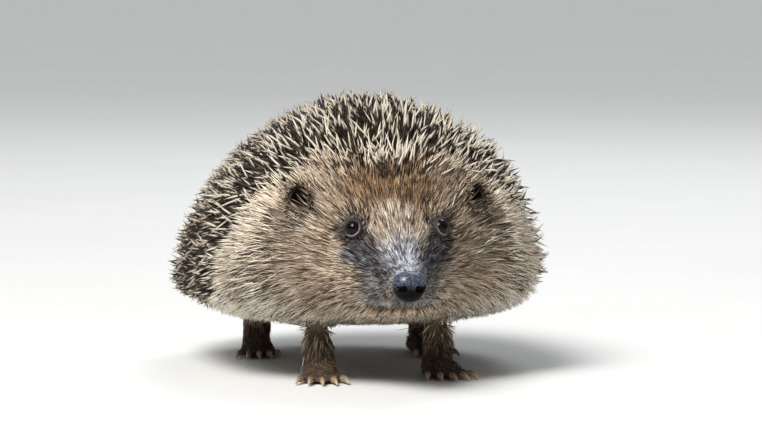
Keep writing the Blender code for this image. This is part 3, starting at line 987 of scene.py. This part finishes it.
def nose_material():
    made, n, shader = new_material("wet_nose", srgb(28, 26, 31), 0.34, 0.05)
    place = n.here()
    grain = n.ramp(n.cells(place, 1700.0, "DISTANCE_TO_EDGE"), 0.0, 0.22)
    level = n.split(place)[2]
    tint = n.mix(n.noise(place, 420.0, 3.0), srgb(3, 3, 4), srgb(11, 11, 14))
    # painted sheen: the top of the pad is lighter and bluer, a reflection from above painted into
    # its colour
    painted_sheen = n.mix(n.noise(place, 950.0, 3.0), srgb(60, 63, 76), srgb(120, 127, 150))
    tint = n.mix(n.ramp(level, 0.0352, 0.0388), tint, painted_sheen)
    tint = n.mix(grain, srgb(5, 5, 6), tint)
    # painted shade: the nostrils are darkened near black
    n.put(shader.inputs["Base Color"], n.mix(n.attribute("hollow"), tint, srgb(5, 4, 5)))
    n.bump(shader, grain, 0.6, 0.00015)
    rough = n.math("ADD", 0.24, n.math("MULTIPLY", n.noise(place, 800.0), 0.2))
    n.put(shader.inputs["Roughness"], rough)
    n.put(shader.inputs["Coat Weight"], n.ramp(level, 0.0345, 0.039, 0.02, 0.6))
    shader.inputs["Coat Roughness"].default_value = 0.2
    return made


def model_nose():
    clear_selection()
    bpy.ops.mesh.primitive_uv_sphere_add(segments=96, ring_count=64, radius=1,
                                         rotation=(math.radians(90), 0, 0))
    pad = bpy.context.object
    pad.name = "nose_pad"
    bpy.ops.object.transform_apply(location=True, rotation=True, scale=True)
    p = np.array([v.co for v in pad.data.vertices])
    # square the ball a little, then narrow it downwards
    p = np.sign(p) * np.abs(p) ** 0.86
    p /= np.maximum(np.abs(p).max(0), 1e-9)
    p[:, 0] *= 1 - 0.16 * smooth_step(0.2, -1, p[:, 2])
    # groove down the middle of the front and underside
    front = smooth_step(0.1, -0.7, p[:, 1])
    middle = PHILTRUM_DEPTH * np.exp(-((p[:, 0] / PHILTRUM_WIDTH) ** 2))
    p[:, 1] += middle * front * smooth_step(0.75, 0.1, p[:, 2])
    hollow = np.zeros(len(p))
    for sign in (-1, 1):
        # a nostril: a round hole with a slit that curls outwards and up
        depth_in = np.zeros(len(p))
        for x, z, width in NOSTRIL:
            away = np.hypot(p[:, 0] - sign * x, p[:, 2] - z)
            bite = np.exp(-((away / width) ** 4)) * width / NOSTRIL[0][2]
            depth_in = np.maximum(depth_in, bite)
        depth_in *= smooth_step(0.25, -0.1, p[:, 1])
        p[:, 1] += NOSTRIL_DEPTH * depth_in
        p[:, 0] -= sign * NOSTRIL_SPREAD * depth_in
        # the nostrils' mask, for their painted shade
        hollow = np.maximum(hollow, smooth_step(0.25, 0.8, depth_in))
    put_points(pad.data, p * pad_half * 0.995 + pad_middle)
    mark(pad, hollow=hollow)
    pad.data.shade_smooth()
    pad.data.materials.append(nose_material())
    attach(pad, "root")
    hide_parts("nose")
    return pad


nose_pad = model_nose()
print("nose pad faces", len(nose_pad.data.polygons))


# %% [markdown]
# ## Claws
#
# The claws keep the shape they have in the solid model. Their horn is brown at the toe and
# pale and worn at the tip, with fine streaks. New claws could be modelled, but these have
# the right curve already, so only the finish is new.

# %% Give the claws their horn
def claw_material():
    made, n, shader = new_material("worn_claw", srgb(150, 128, 104), 0.38)
    place = n.here()
    level = n.split(place)[2]
    streaks = n.noise(place, 1500.0, 3.0, 0.6)
    base = n.mix(streaks, srgb(74, 56, 44), srgb(112, 90, 72))
    tip = n.mix(streaks, srgb(150, 126, 100), srgb(196, 174, 144))
    n.put(shader.inputs["Base Color"], n.mix(n.ramp(level, 0.0012, 0.0036), tip, base))
    n.put(shader.inputs["Roughness"], n.ramp(streaks, 0.3, 0.7, 0.30, 0.48))
    n.bump(shader, streaks, 0.4, 0.00008)
    return made


worn_claw = claw_material()
claws = [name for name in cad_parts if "claw" in name]
for name in claws:
    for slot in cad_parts[name].material_slots:
        slot.material = worn_claw
print("claws finished:", len(claws))


# %% [markdown]
# ## One hair and one spine
#
# Everything in the coat is a copy of one of three small shapes: a short hair, a long hair
# and a spine. Each is a slim cone of unit length, cut into rings that give it its taper.
# Curves would be lighter, but a solid model needs strands with sides. A few faces for each
# are enough at its size.

# %% Model the templates
def strand_template(name, sides, rings):
    """A closed strand along Z from 0 to 1; rings are (place along, radius)."""
    clear_selection()
    bpy.ops.mesh.primitive_cone_add(vertices=sides, radius1=1, radius2=0, depth=1,
                                    end_fill_type="NGON", location=(0, 0, 0.5))
    strand = bpy.context.object
    strand.name = name
    bpy.ops.object.transform_apply(location=True, rotation=True, scale=True)
    bpy.ops.object.mode_set(mode="EDIT")
    for height, _ in rings[1:]:
        bpy.ops.mesh.select_all(action="SELECT")
        bpy.ops.mesh.bisect(plane_co=(0, 0, height), plane_no=(0, 0, 1))
    bpy.ops.object.mode_set(mode="OBJECT")
    p = np.array([v.co for v in strand.data.vertices])
    for height, radius in rings:
        ring = np.abs(p[:, 2] - height) < 1e-4
        p[ring, :2] *= (radius / np.maximum(np.linalg.norm(p[ring, :2], axis=1), 1e-9))[:, None]
    faces = [tuple(polygon.vertices) for polygon in strand.data.polygons]
    bpy.data.objects.remove(strand)
    print(name, len(p), "points", sum(len(face) - 2 for face in faces), "triangles")
    return p, faces


SHORT_HAIR = strand_template("short_hair", 3, [(0, 0.9), (0.5, 1.0)])
LONG_HAIR = strand_template("long_hair", 3, [(0, 0.8), (0.4, 1.0), (0.75, 0.7)])
SPINE = strand_template("spine", 5, [(0, 0.45), (0.06, 0.75), (0.45, 1.0), (0.82, 0.80)])


# %% [markdown]
# ## Planting
#
# Roots are scattered over the skin by area. Each strand gets a direction, a length and a
# thickness from its place, and its tip is laid near the outline of the solid model. A
# particle system could do much of this, but its strands would still have to be turned into
# solid ones, and here each step can be read and changed on its own.

# %% Scatter roots over the skin
BALD = 0.4                              # skin that is barer or more hollow grows nothing
LOWEST_ROOT = 0.9                       # level above the floor
NEIGHBOURS = list(product((-1, 0, 1), repeat=3))

skin.data.calc_loop_triangles()
skin_points = points_of(skin.data)
skin_normals = relaxed(normals_of(skin.data), edges_of(skin.data), 0.5, 3)
corners = read(skin.data.loop_triangles, "vertices", 3, np.int32)
# the ear cups carry their own fringe, so the general coat leaves them out
corners = corners[corners.max(1) < len(shape)]
tri = skin_points[corners]
tri_area = np.linalg.norm(np.cross(tri[:, 1] - tri[:, 0], tri[:, 2] - tri[:, 0]), axis=1) / 2
tri_centre = tri.mean(1)
hairless = np.maximum(bare, hollow)[:, None]


def scatter(growth, count):
    """Roots and normals at random places, by area times growth."""
    share = tri_area * growth(tri_centre)
    picked = rng.choice(len(corners), size=count, p=share / share.sum())
    a, b = rng.random((2, count, 1))
    flip = a + b > 1
    a, b = np.where(flip, 1 - a, a), np.where(flip, 1 - b, b)

    def mixed(values):
        return sum(m * values[corners[picked, k]] for k, m in enumerate((1 - a - b, a, b)))

    roots, normals, bald = mixed(skin_points), unit(mixed(skin_normals)), mixed(hairless)
    normals = unit(0.3 * normals + 0.7 * outer_normals[nearest_in(outer_tree, roots)])
    keep = (bald[:, 0] < BALD) & (roots[:, 2] > LOWEST_ROOT)
    return roots[keep], normals[keep]


def spread_out(points, gap):
    """Keeps the points that stay a gap away from all those kept before them."""
    grid, kept = {}, []
    cells = np.floor(points / gap).astype(int).tolist()
    for k, (point, (x, y, z)) in enumerate(zip(points.tolist(), cells)):
        others = (other for i, j, m in NEIGHBOURS for other in grid.get((x + i, y + j, z + m), ()))
        if all(math.dist(point, other) >= gap for other in others):
            grid.setdefault((x, y, z), []).append(point)
            kept.append(k)
    return np.array(kept)


print("skin triangles that may carry the coat:", len(corners))


# %% [markdown]
# ## How far a strand can reach
#
# The tips of a coat make its outline, so the length of a strand follows from the room
# above its root. Strands could be cut off at the outline, which would leave blunt ends.
# Measuring the room first lets each keep its pointed tip.

# %% Measure against the outline
def room_above(roots):
    """How far the outline lies above each root."""
    return np.array([outline.find_nearest(Vector(root))[3] for root in roots])


def outside_by(points):
    """How far each point lies outside the outline; negative inside."""
    found = []
    for point in points:
        place, normal, _, far = outline.find_nearest(Vector(point))
        found.append(math.copysign(far, (Vector(point) - place).dot(normal)))
    return np.array(found)


def room_along(roots, directions, most):
    """How far each root can reach in its direction before it meets the outline."""
    found = []
    for root, direction in zip(roots, directions):
        hit = outline.ray_cast(Vector(root), Vector(direction), most)
        found.append(most if hit[0] is None else hit[3])
    return np.array(found)


print("room above one point of the skin", room_above(skin_points[:1]).round(1))


# %% [markdown]
# ## The lie of the coat
#
# Hair flows away from the nose, parts round the eyes, droops over the cheeks and runs down
# the legs to the toes. It could be combed with a brush. A formula for the direction at
# each place combs both sides alike and gives the same coat each time.

# %% The lie of the coat
REARWARDS, UNDERNEATH = np.array([0, 0.82, -0.57]), np.array([0, 1.0, -0.12])
DOWN_THE_LEG, TO_THE_TOES = np.array([0, 0.18, -1.0]), np.array([0, -1.0, -0.25])


def flat_on(normals, vectors):
    return unit(vectors - normals * np.sum(vectors * normals, axis=1, keepdims=True))


def lie_of(roots, normals):
    """The way the hair points along the skin."""
    behind, level = behind_nose(roots), roots[:, 2]
    # away from the nose, drooping over the cheeks
    flow = unit(roots - at(0, 4, 38.5))
    flow[:, 2] -= 0.45 * smooth_step(26, 62, behind) * smooth_step(70, 44, level)
    flow = blend(flow, REARWARDS, smooth_step(52, 96, behind)[:, None])
    under = smooth_step(24, 17, level) * smooth_step(34, 60, behind)
    flow = blend(flow, UNDERNEATH, under[:, None])
    leg = smooth_step(18, 15, level) * smooth_step(-0.80, -0.55, normals[:, 2])
    flow = blend(flow, DOWN_THE_LEG, leg[:, None])
    flow = blend(flow, TO_THE_TOES, smooth_step(7.5, 4.5, level)[:, None])
    for eye in eyes.values():
        away = roots - eye
        far = np.linalg.norm(away, axis=1)
        flow += 1.3 * unit(away) * smooth_step(8.5, 4.0, far)[:, None]
    return flat_on(normals, flow)


def swayed(normals, flow, spread):
    """Turns each lie about its normal by a random angle."""
    angle = rng.normal(0, spread, len(flow))[:, None]
    return unit(flow * np.cos(angle) + np.cross(normals, flow) * np.sin(angle))


brow_lie = lie_of(at(0, 40, 68)[None], np.array([[0.0, -0.5, 0.87]]))
print("hair on the brow points to", brow_lie.round(2))


# %% [markdown]
# ## A place on the map for each strand
#
# A finish can be baked only where every strand has a place of its own on a map, here the
# one named OFBake. Blender's own unwrap would have to pack many thousands of islands. A
# grid of cells is quick, and a strand takes the free cell nearest to its place on an
# unwrap of the body: the way round it by the way along it.

# %% Give each strand its place on the map
CELLS = 320                             # cells along each side of the map
PATCH = 0.003                           # side of a strand's own patch, just under a cell
CELL_STEPS = sorted(product(range(-7, 8), repeat=2), key=lambda step: step[0] ** 2 + step[1] ** 2)
BODY_AXIS, BODY_LENGTH = 34, 210        # level of the axis that the unwrap goes round


def round_the_body(points):
    angle = np.arctan2(points[:, 0], points[:, 2] - BODY_AXIS) / (2 * math.pi) + 0.5
    return np.stack([angle, (behind_nose(points) + 4) / BODY_LENGTH], 1)


def bake_cells(roots):
    """A cell of the unwrap for each root, at its own place or at the nearest free one."""
    flat = round_the_body(roots)
    flat = (flat - flat.min(0)) / np.maximum(np.ptp(flat, axis=0), 1e-6)
    used, placed = set(), []
    for column, row in (0.004 + flat * 0.99 * CELLS).astype(int).tolist():
        for i, j in CELL_STEPS:
            cell = (min(max(column + i, 0), CELLS - 2), min(max(row + j, 0), CELLS - 2))
            if cell not in used:
                break
        used.add(cell)
        placed.append(cell)
    return np.array(placed, float) / CELLS


print("the map has", CELLS, "by", CELLS, "cells for the strands of a piece")


# %% [markdown]
# ## Copies of a template
#
# A strand leaves the skin steeply and bends over into its lie. Geometry nodes could place
# the copies. Here the points of all copies are worked out in one array and become one
# mesh, because then each strand can have a bend of its own, and its root, its tone and its
# patch of the map are kept with it.

# %% Copy a template along the strands
ROOT_SINK = 0.4                         # how far a strand's foot goes into the skin
BOX_MARGIN = 0.05                       # kept inside the box of the solid model
box_low, box_high = (np.array(corner) / MM for corner in cad_box)


def strand_points(one, roots, normals, flow, rise, length, thickness, curl, gather):
    """The template's points, once for each root, bent along its strand."""
    t = one[None, :, 2]
    rise = np.minimum(rise, length * 0.97)
    run = np.sqrt(np.maximum(length**2 - rise**2, 0.01))
    up = (1 - (1 - t) ** curl) * rise[:, None] - ROOT_SINK * (t < 0.01)
    along = t**1.1 * run[:, None]
    path = roots[:, None] + normals[:, None] * up[..., None] + flow[:, None] * along[..., None]
    if gather is not None:
        path += gather[:, None] * (t[..., None] ** 1.6)
    chord = unit(normals * rise[:, None] + flow * run[:, None])
    across = unit(np.cross(chord, normals + 1e-4))
    third = np.cross(chord, across)
    spin = rng.random(len(roots))[:, None, None] * 2 * math.pi
    one_x, one_y = one[None, :, 0, None], one[None, :, 1, None]
    x = one_x * np.cos(spin) - one_y * np.sin(spin)
    y = one_x * np.sin(spin) + one_y * np.cos(spin)
    points = path + (across[:, None] * x + third[:, None] * y) * thickness[:, None, None]
    return np.clip(points, box_low + BOX_MARGIN, box_high - BOX_MARGIN)


def plant(name, template, roots, normals, flow, rise, length, thickness, tone, finish, slot,
          curl=1.6, gather=None):
    """Makes one piece of coat: a copy of the template for each root."""
    one, faces = template
    points = strand_points(one, roots, normals, flow, rise, length, thickness, curl, gather)
    count, size = len(roots), len(one)
    corner_ids = np.concatenate([np.array(face) for face in faces])
    face_sizes = np.array([len(face) for face in faces])
    loops = (corner_ids[None] + (np.arange(count) * size)[:, None]).ravel()
    starts = np.concatenate([[0], np.cumsum(np.tile(face_sizes, count))[:-1]])
    mesh = bpy.data.meshes.new(name)
    mesh.vertices.add(count * size)
    mesh.loops.add(len(loops))
    mesh.polygons.add(count * len(faces))
    mesh.vertices.foreach_set("co", (points * MM).astype(np.float32).ravel())
    mesh.loops.foreach_set("vertex_index", loops.astype(np.int32))
    mesh.polygons.foreach_set("loop_start", starts.astype(np.int32))
    mesh.update(calc_edges=True)
    # the patch shows the strand from one side, upright in its cell
    x, y, t = one.T
    patch = np.stack([0.5 + 0.45 * x, 0.06 + 0.88 * t + 0.03 * y], 1)
    flat = bake_cells(roots)[:, None] + PATCH * patch[corner_ids][None]
    mesh.uv_layers.new(name="OFBake")
    mesh.uv_layers["OFBake"].data.foreach_set("uv", flat.astype(np.float32).ravel())
    piece = bpy.data.objects.new(name, mesh)
    mark(piece, along=np.tile(t, count), tone=np.repeat(tone, size))
    layer = mesh.attributes.new("root", "FLOAT_VECTOR", "POINT")
    own_root = np.repeat(roots, size, axis=0) * MM
    layer.data.foreach_set("vector", own_root.astype(np.float32).ravel())
    mesh.shade_smooth()
    mesh.materials.append(finish)
    bpy.context.scene.collection.objects.link(piece)
    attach(piece, "root")
    print(f"{name}: {count} strands, {int(sum(face_sizes - 2)) * count} triangles")


def plant_halves(name, template, strands, slot, bounds=(-math.inf, math.inf), **options):
    """One piece for each side of the body and each stretch between the bounds."""
    place = behind_nose(strands["roots"])
    for side, sign in SIDES.items():
        for k, (near, far) in enumerate(zip(bounds, bounds[1:])):
            pick = (strands["roots"][:, 0] * sign >= 0) & (place >= near) & (place < far)
            picked = {key: None if value is None else value[pick] for key, value in strands.items()}
            part = f"_{k + 1}" if len(bounds) > 2 else ""
            plant(f"{name}_{side}{part}", template, **picked, slot=slot, **options)


print("strands stay between", box_low.round(1), "and", box_high.round(1))


# %% [markdown]
# ## Spines
#
# Nearly five thousand spines stand in the skin of the crown and back, no two closer than
# about a millimetre and a half. They lean away from the face and cross each other at odd
# angles, which is what makes a hedgehog bristle. A grid would show through as rows. Roots
# are tried at random instead and kept where there is room for them.

# %% Plant the spines
SPINE_TRIES, SPINE_GAP = 90000, 1.45
LEAN_STATIONS, LEANS = [36, 44, 54, 70, 100, 200], [60, 52, 42, 46, 54, 56]     # in degrees
LONGEST_REACH = 40.0
SHORTEST_SPINE, LONGEST_SPINE = 5.0, 24


def spine_growth(points):
    return smooth_step(-1.5, 1.5, spine_side(points)) * (points[:, 2] > 20)


def spines():
    """Everything that plant needs for the spines."""
    roots, normals = scatter(spine_growth, int(SPINE_TRIES * DRAFT))
    kept = spread_out(roots, SPINE_GAP)
    roots, normals = roots[kept], normals[kept]
    behind = behind_nose(roots)
    flow = flat_on(normals, roots - at(0, 36, 48))
    lean = np.radians(profile(roots, LEAN_STATIONS, LEANS))
    lean = lean + smooth_step(70, 45, roots[:, 2]) * np.radians(8)
    lean = (lean + rng.normal(0, 0.14, len(roots)))[:, None]
    way = unit(normals * np.cos(lean) + swayed(normals, flow, 0.5) * np.sin(lean))
    way = unit(way + rng.normal(0, 0.17, way.shape))
    reach = room_along(roots, way, LONGEST_REACH)
    length = np.clip(reach * rng.triangular(0.62, 0.96, 1.10, len(roots)),
                     SHORTEST_SPINE, LONGEST_SPINE)
    # none far outside, fewer over the back, and none that lies down across the brow
    keep = outside_by(roots + way * length[:, None]) < 1.6
    keep &= rng.random(len(roots)) > 0.30 * smooth_step(58, 90, behind)
    keep &= (np.sum(way * flow, axis=1) > 0.5) | (behind > 50)
    roots, normals, way, length, behind = (
        a[keep] for a in (roots, normals, way, length, behind))
    thickness = rng.uniform(0.33, 0.47, len(roots)) * np.interp(length, [5, 16], [0.65, 1])
    # painted shade: spines are darker over the back, as the rear falls into shade, and paler where
    # spines meet hair
    tone = rng.random(len(roots)) * (1 - 0.60 * smooth_step(60, 100, behind))
    at_border = 0.7 * smooth_step(9, 1, spine_side(roots)) * smooth_step(78, 60, behind)
    at_border = smooth_step(56, 46, behind) + at_border
    tone += (1 - tone) * 0.55 * np.minimum(at_border, 1)
    return dict(roots=roots, normals=normals, flow=flat_on(normals, way),
                rise=np.sum(way * normals, axis=1) * length, length=length,
                thickness=thickness, tone=tone)


plant_halves("spines", SPINE, spines(), "spines", finish=spine_horn, curl=1.08)


# %% [markdown]
# ## Hair
#
# Hair is thin and short on the snout, longer over the cheeks and longest in the ruff and
# the skirt. Strands are gathered into locks by drawing each tip towards the tip of the
# nearest lock. The strands could be clumped by a modifier, but only curves have one.
# Drawing in the tips does the same for solid strands.

# %% Keep the eyes, the ears and the nose clear
EYE_CLEARANCE, EYE_CONE = 2.0, 0.56     # distance, and cosine of the cone before the eye
EAR_CLEARED = 0.80                      # share of the hairs before an ear that go


def stays_clear(roots, tip):
    """Whether each hair keeps off the eyes, the ear openings and the nose pad."""
    clear = np.ones(len(roots), bool)
    for side, eye in eyes.items():
        for share in (0.35, 0.7, 1.0):
            out = roots + (tip - roots) * share - eye
            far = np.linalg.norm(out, axis=1)
            clear &= ~((far < EYE_RADIUS + EYE_CLEARANCE) & (out @ GAZE[side] > far * EYE_CONE))
    for side in SIDES:
        for share in (0.3, 0.6, 1.0):
            forward, away = off_axis(roots + (tip - roots) * share, side)
            before = (forward > -9) & (forward < 6) & (away < 3.1)
            clear &= ~(before & (rng.random(len(roots)) < EAR_CLEARED))
        forward, away = off_axis(roots, side)
        clear &= ~((np.abs(forward) < 9) & (away < 3.6))
    for share in (0, 0.5, 1.0):
        on_pad = (roots + (tip - roots) * share - pad_middle) / (pad_high - pad_low) * 2
        clear &= np.linalg.norm(on_pad, axis=1) > 1.0
    return clear


print("hair keeps clear of the eyes by", EYE_CLEARANCE)


# %% Hair of one region
FACE_LOCK, RUFF_LOCK = 1.2, 1.8         # distance between locks
MOST_LOCKS = 24000
DARK_TONE, MIDDLE_TONE, PALE_TONE = 0.12, 0.42, 0.86


def gathered(roots, tip, lock_gap, lock_share):
    """How far each tip is drawn towards its lock, and how pale the lock is."""
    order = rng.permutation(len(roots))[:MOST_LOCKS]
    centres = order[spread_out(roots[order], lock_gap)]
    owner = centres[nearest_in(tree_of(roots[centres]), roots)]
    pull = tip[owner] - tip
    pull *= np.minimum(1, 1.5 * lock_gap / np.maximum(np.linalg.norm(pull, axis=1), 0.1))[:, None]
    gather = pull * lock_share * rng.uniform(0.6, 1.3, (len(roots), 1))
    return gather, rng.normal(0, 0.20, len(roots))[owner]


def hairs(growth, count, length_at, width_at, spread, lock_gap=None, lock_share=0.0,
          layers=(0.55, 1.0), dark_share=0.36, pale_share=0.32):
    """Everything that plant needs for one region of hair."""
    roots, normals = scatter(growth, int(count * DRAFT))
    flow = swayed(normals, lie_of(roots, normals), spread)
    room = room_above(roots)
    length = length_at(roots) * rng.uniform(0.75, 1.15, len(roots))
    length *= np.interp(near_eyes(roots), [3.4, 5.0, 9.0], [0.28, 0.45, 1.0])
    length *= np.interp(near_segment(roots, tail_root, tail_tip), [2, 6, 12], [0.22, 0.4, 1.0])
    length *= 1 - 0.45 * smooth_step(-13, -1, spine_side(roots))
    rise = np.minimum(room * rng.uniform(*layers, len(roots)), 0.8 * length_at(roots))
    length = np.maximum(length, rise / 0.85)
    run = np.sqrt(np.maximum(length**2 - rise**2, 0.01))
    tip = roots + normals * rise[:, None] + flow * run[:, None]
    keep = outside_by(tip) < 1.3
    keep &= stays_clear(roots, tip)
    roots, normals, flow, rise, length, tip = (
        a[keep] for a in (roots, normals, flow, rise, length, tip))
    gather, lock_tone = gathered(roots, tip, lock_gap, lock_share) if lock_gap else (None, 0.0)
    kind = rng.random(len(roots))
    tone = np.where(kind < 1 - pale_share, MIDDLE_TONE, PALE_TONE)
    tone = np.where(kind < dark_share, DARK_TONE, tone)
    tone = np.clip(tone + rng.normal(0, 0.07, len(roots)) + lock_tone, 0, 1)
    thickness = width_at(roots) * rng.uniform(0.8, 1.2, len(roots))
    return dict(roots=roots, normals=normals, flow=flow, rise=rise, length=length,
                thickness=thickness, tone=tone, gather=gather)


print("locks are apart by", FACE_LOCK, "on the face and", RUFF_LOCK, "in the ruff")


# %% [markdown]
# ## Face
#
# On the snout the hair is like velvet, and it grows longer towards the cheeks. It is seen
# from closest, so it is made of many thin strands and not of fewer wide ones.

# %% Plant the hair of the face
def face_growth(p):
    there = (behind_nose(p) < 52) * smooth_step(13.0, -2.0, spine_side(p)) * (p[:, 2] > 17)
    return there * profile(p, [0, 12, 30, 52], [3.2, 2.6, 1.6, 0.8])


face = hairs(
    face_growth, 37000,
    length_at=lambda p: profile(p, [2, 8, 16, 28, 40, 52], [1.4, 2.4, 4.2, 6.8, 10.0, 14.0]),
    width_at=lambda p: profile(p, [2, 14, 30, 52], [0.07, 0.085, 0.105, 0.13]),
    spread=0.13, lock_gap=FACE_LOCK, lock_share=0.28,
)
plant_halves("face_hair", SHORT_HAIR, face, "face_fur", finish=hair)


# %% [markdown]
# ## Ruff and skirt
#
# Behind the cheeks and under the spines hangs longer, coarser hair in loose locks. More of
# the same face hair would look combed, so this hair has wider strands, a stronger pull
# into locks and more contrast between dark and pale.

# %% Plant the ruff and the skirt
def ruff_growth(p):
    there = smooth_step(46, 54, behind_nose(p)) * smooth_step(3.5, -2.0, spine_side(p))
    return there * (p[:, 2] > 15.5) * profile(p, [46, 100, 130, 200], [1.5, 1.2, 0.7, 0.6])


ruff = hairs(
    ruff_growth, 40000,
    length_at=lambda p: profile(p, [46, 60, 100, 200], [14.0, 18.0, 18.0, 16.0]),
    width_at=lambda p: profile(p, [46, 60, 200], [0.14, 0.16, 0.17]),
    spread=0.17, lock_gap=RUFF_LOCK, lock_share=0.55, layers=(0.36, 0.94),
    dark_share=0.44, pale_share=0.42,
)
plant_halves("ruff", LONG_HAIR, ruff, "body_fur", (0, 84, 300), finish=hair)


# %% [markdown]
# ## Guard hairs
#
# Long, stiff hairs, mostly pale at the tip, stand along the border of the spines and in
# the ruff. They could be a share of the ruff's hair. As a piece of their own they can be
# straighter and reach further out than the rest.

# %% Plant the guard hairs
def guard_growth(p):
    there = smooth_step(34, 44, behind_nose(p)) * (p[:, 2] > 20)
    there = there * smooth_step(14, 24, np.abs(p[:, 0]))
    along_border = np.exp(-(((spine_side(p) + 5) / 4) ** 2))
    return there * (along_border + 0.5 * smooth_step(-2, -6, spine_side(p)))


guard = hairs(
    guard_growth, 7500,
    length_at=lambda p: profile(p, [34, 50, 70, 200], [11.0, 18.0, 21.0, 20.0]),
    width_at=lambda p: profile(p, [34, 60, 200], [0.13, 0.18, 0.19]),
    spread=0.2, layers=(0.85, 1.1), dark_share=0.1, pale_share=0.75,
)
plant("guard_hair", LONG_HAIR, **guard, finish=hair, slot="body_fur", curl=1.15)


# %% [markdown]
# ## Quills of the ruff
#
# Sparse, pale and stiffer than the guard hairs, these stand out sideways behind the
# cheeks. Wider guard hairs everywhere would make the whole coat coarse, so they have a
# region and a width of their own.

# %% Plant the quills of the ruff
def quill_growth(p):
    there = smooth_step(44, 52, behind_nose(p)) * smooth_step(92, 74, behind_nose(p))
    there = there * (p[:, 2] > 26) * smooth_step(26, 38, np.abs(p[:, 0]))
    return there * smooth_step(2, -3, spine_side(p)) * smooth_step(-34, -14, spine_side(p))


quills = hairs(
    quill_growth, 3200,
    length_at=lambda p: profile(p, [44, 60], [18.0, 24.0]),
    width_at=lambda p: profile(p, [44, 60], [0.23, 0.31]),
    spread=0.22, layers=(1.0, 1.25), dark_share=0.0, pale_share=0.95,
)
plant("ruff_quills", LONG_HAIR, **quills, finish=hair, slot="body_fur", curl=1.1)


# %% [markdown]
# ## Whiskers
#
# A hedgehog's whiskers are short and dark and stand in rows on the lip. Scattering them
# would lose the rows, so each is placed by its row and column, and only its direction and
# length are left to chance.

# %% Plant the whiskers
WHISKER_ROWS, WHISKER_COLUMNS = 3, 5
WHISKER_WIDTH, WHISKER_TONE = 0.065, 0.1


def whiskers():
    sets = []
    for sign, row, column in product((-1, 1), range(WHISKER_ROWS), range(WHISKER_COLUMNS)):
        root = at(sign * (5.2 + 0.45 * column), 10.0 + 2.1 * column,
                  32.6 + 2.3 * row + rng.normal(0, 0.3))
        place, normal, _, _ = outline.find_nearest(Vector(root))
        out = unit(np.array([sign * 1.0, 0.75, -0.25 + 0.22 * row]) + rng.normal(0, 0.1, 3))
        length = rng.uniform(8, 15) * (0.7 + 0.09 * column)
        sets.append((np.array(place) - np.array(normal) * 1.0, np.array(normal), out, length))
    roots, normals, out, length = (np.array(part) for part in zip(*sets))
    rise = np.maximum(np.sum(out * normals, axis=1) * length, 0.5)
    return dict(roots=roots, normals=normals, flow=flat_on(normals, out), rise=rise, length=length,
                thickness=np.full(len(roots), WHISKER_WIDTH),
                tone=np.full(len(roots), WHISKER_TONE))


plant("whiskers", LONG_HAIR, **whiskers(), finish=hair, slot="face_fur", curl=1.2)


# %% [markdown]
# ## Legs and feet
#
# Short hair lies down the legs and forwards over the toes. It is planted like the face's,
# with the same short template, and lets the claws show.

# %% Plant the hair of the legs and feet
legs = hairs(
    lambda p: (p[:, 2] < 17.5) * 1.0, 9000,
    length_at=lambda p: np.interp(p[:, 2], [0, 5, 8, 16], [1.6, 2.2, 3.4, 6.0]),
    width_at=lambda p: np.interp(p[:, 2], [0, 8, 16], [0.08, 0.1, 0.13]),
    spread=0.2, lock_gap=FACE_LOCK, lock_share=0.2,
)
plant("leg_hair", SHORT_HAIR, **legs, finish=hair, slot="body_fur")


# %% [markdown]
# ## Fringe of the ears
#
# Short hair covers the rim of each ear and hides the seam at its foot. The general coat
# would lie across the opening, so it leaves the cups out, and the fringe is laid on a ring
# round each cup instead.

# %% Plant the fringe of the ears
FRINGE_HAIRS = 1100                     # on each ear
FRINGE_DEPTH = 3.0                      # how far behind the rim the fringe reaches


def ear_fringe():
    rims = []
    for side, ear in ears.items():
        count = int(FRINGE_HAIRS * DRAFT)
        ahead = EAR_FACES[side]
        turn = facing(-ahead, "Y", "Z")
        angle = rng.uniform(0, 2 * math.pi, count)
        ring = np.stack([np.cos(angle), np.zeros(count), np.sin(angle)], 1)
        back = rng.uniform(0, FRINGE_DEPTH, count)
        roots = (ring * EAR_HALF * 0.93) @ turn.T + ear - ahead * (back[:, None] - 0.9)
        normals = unit(ring @ turn.T)
        flow = unit(normals * 0.1 + ahead * np.where(back < 1.0, 0.5, -1.0)[:, None]
                    + rng.normal(0, 0.25, (count, 3)))
        rims.append((roots, normals, flat_on(normals, flow)))
    roots, normals, flow = (np.concatenate(parts) for parts in zip(*rims))
    length = rng.uniform(2.5, 5.5, len(roots))
    kind = rng.random(len(roots))
    rise = length * rng.uniform(0.15, 0.6, len(roots))
    return dict(roots=roots, normals=normals, flow=flow, rise=rise, length=length,
                thickness=rng.uniform(0.08, 0.12, len(roots)),
                tone=np.where(kind < 0.5, 0.12, np.where(kind < 0.85, 0.40, 0.8)))


plant("ear_fringe", SHORT_HAIR, **ear_fringe(), finish=hair, slot="face_fur")
print("coat planted")


# %% [markdown]
# ## End
#

# %% Finish
print("done")
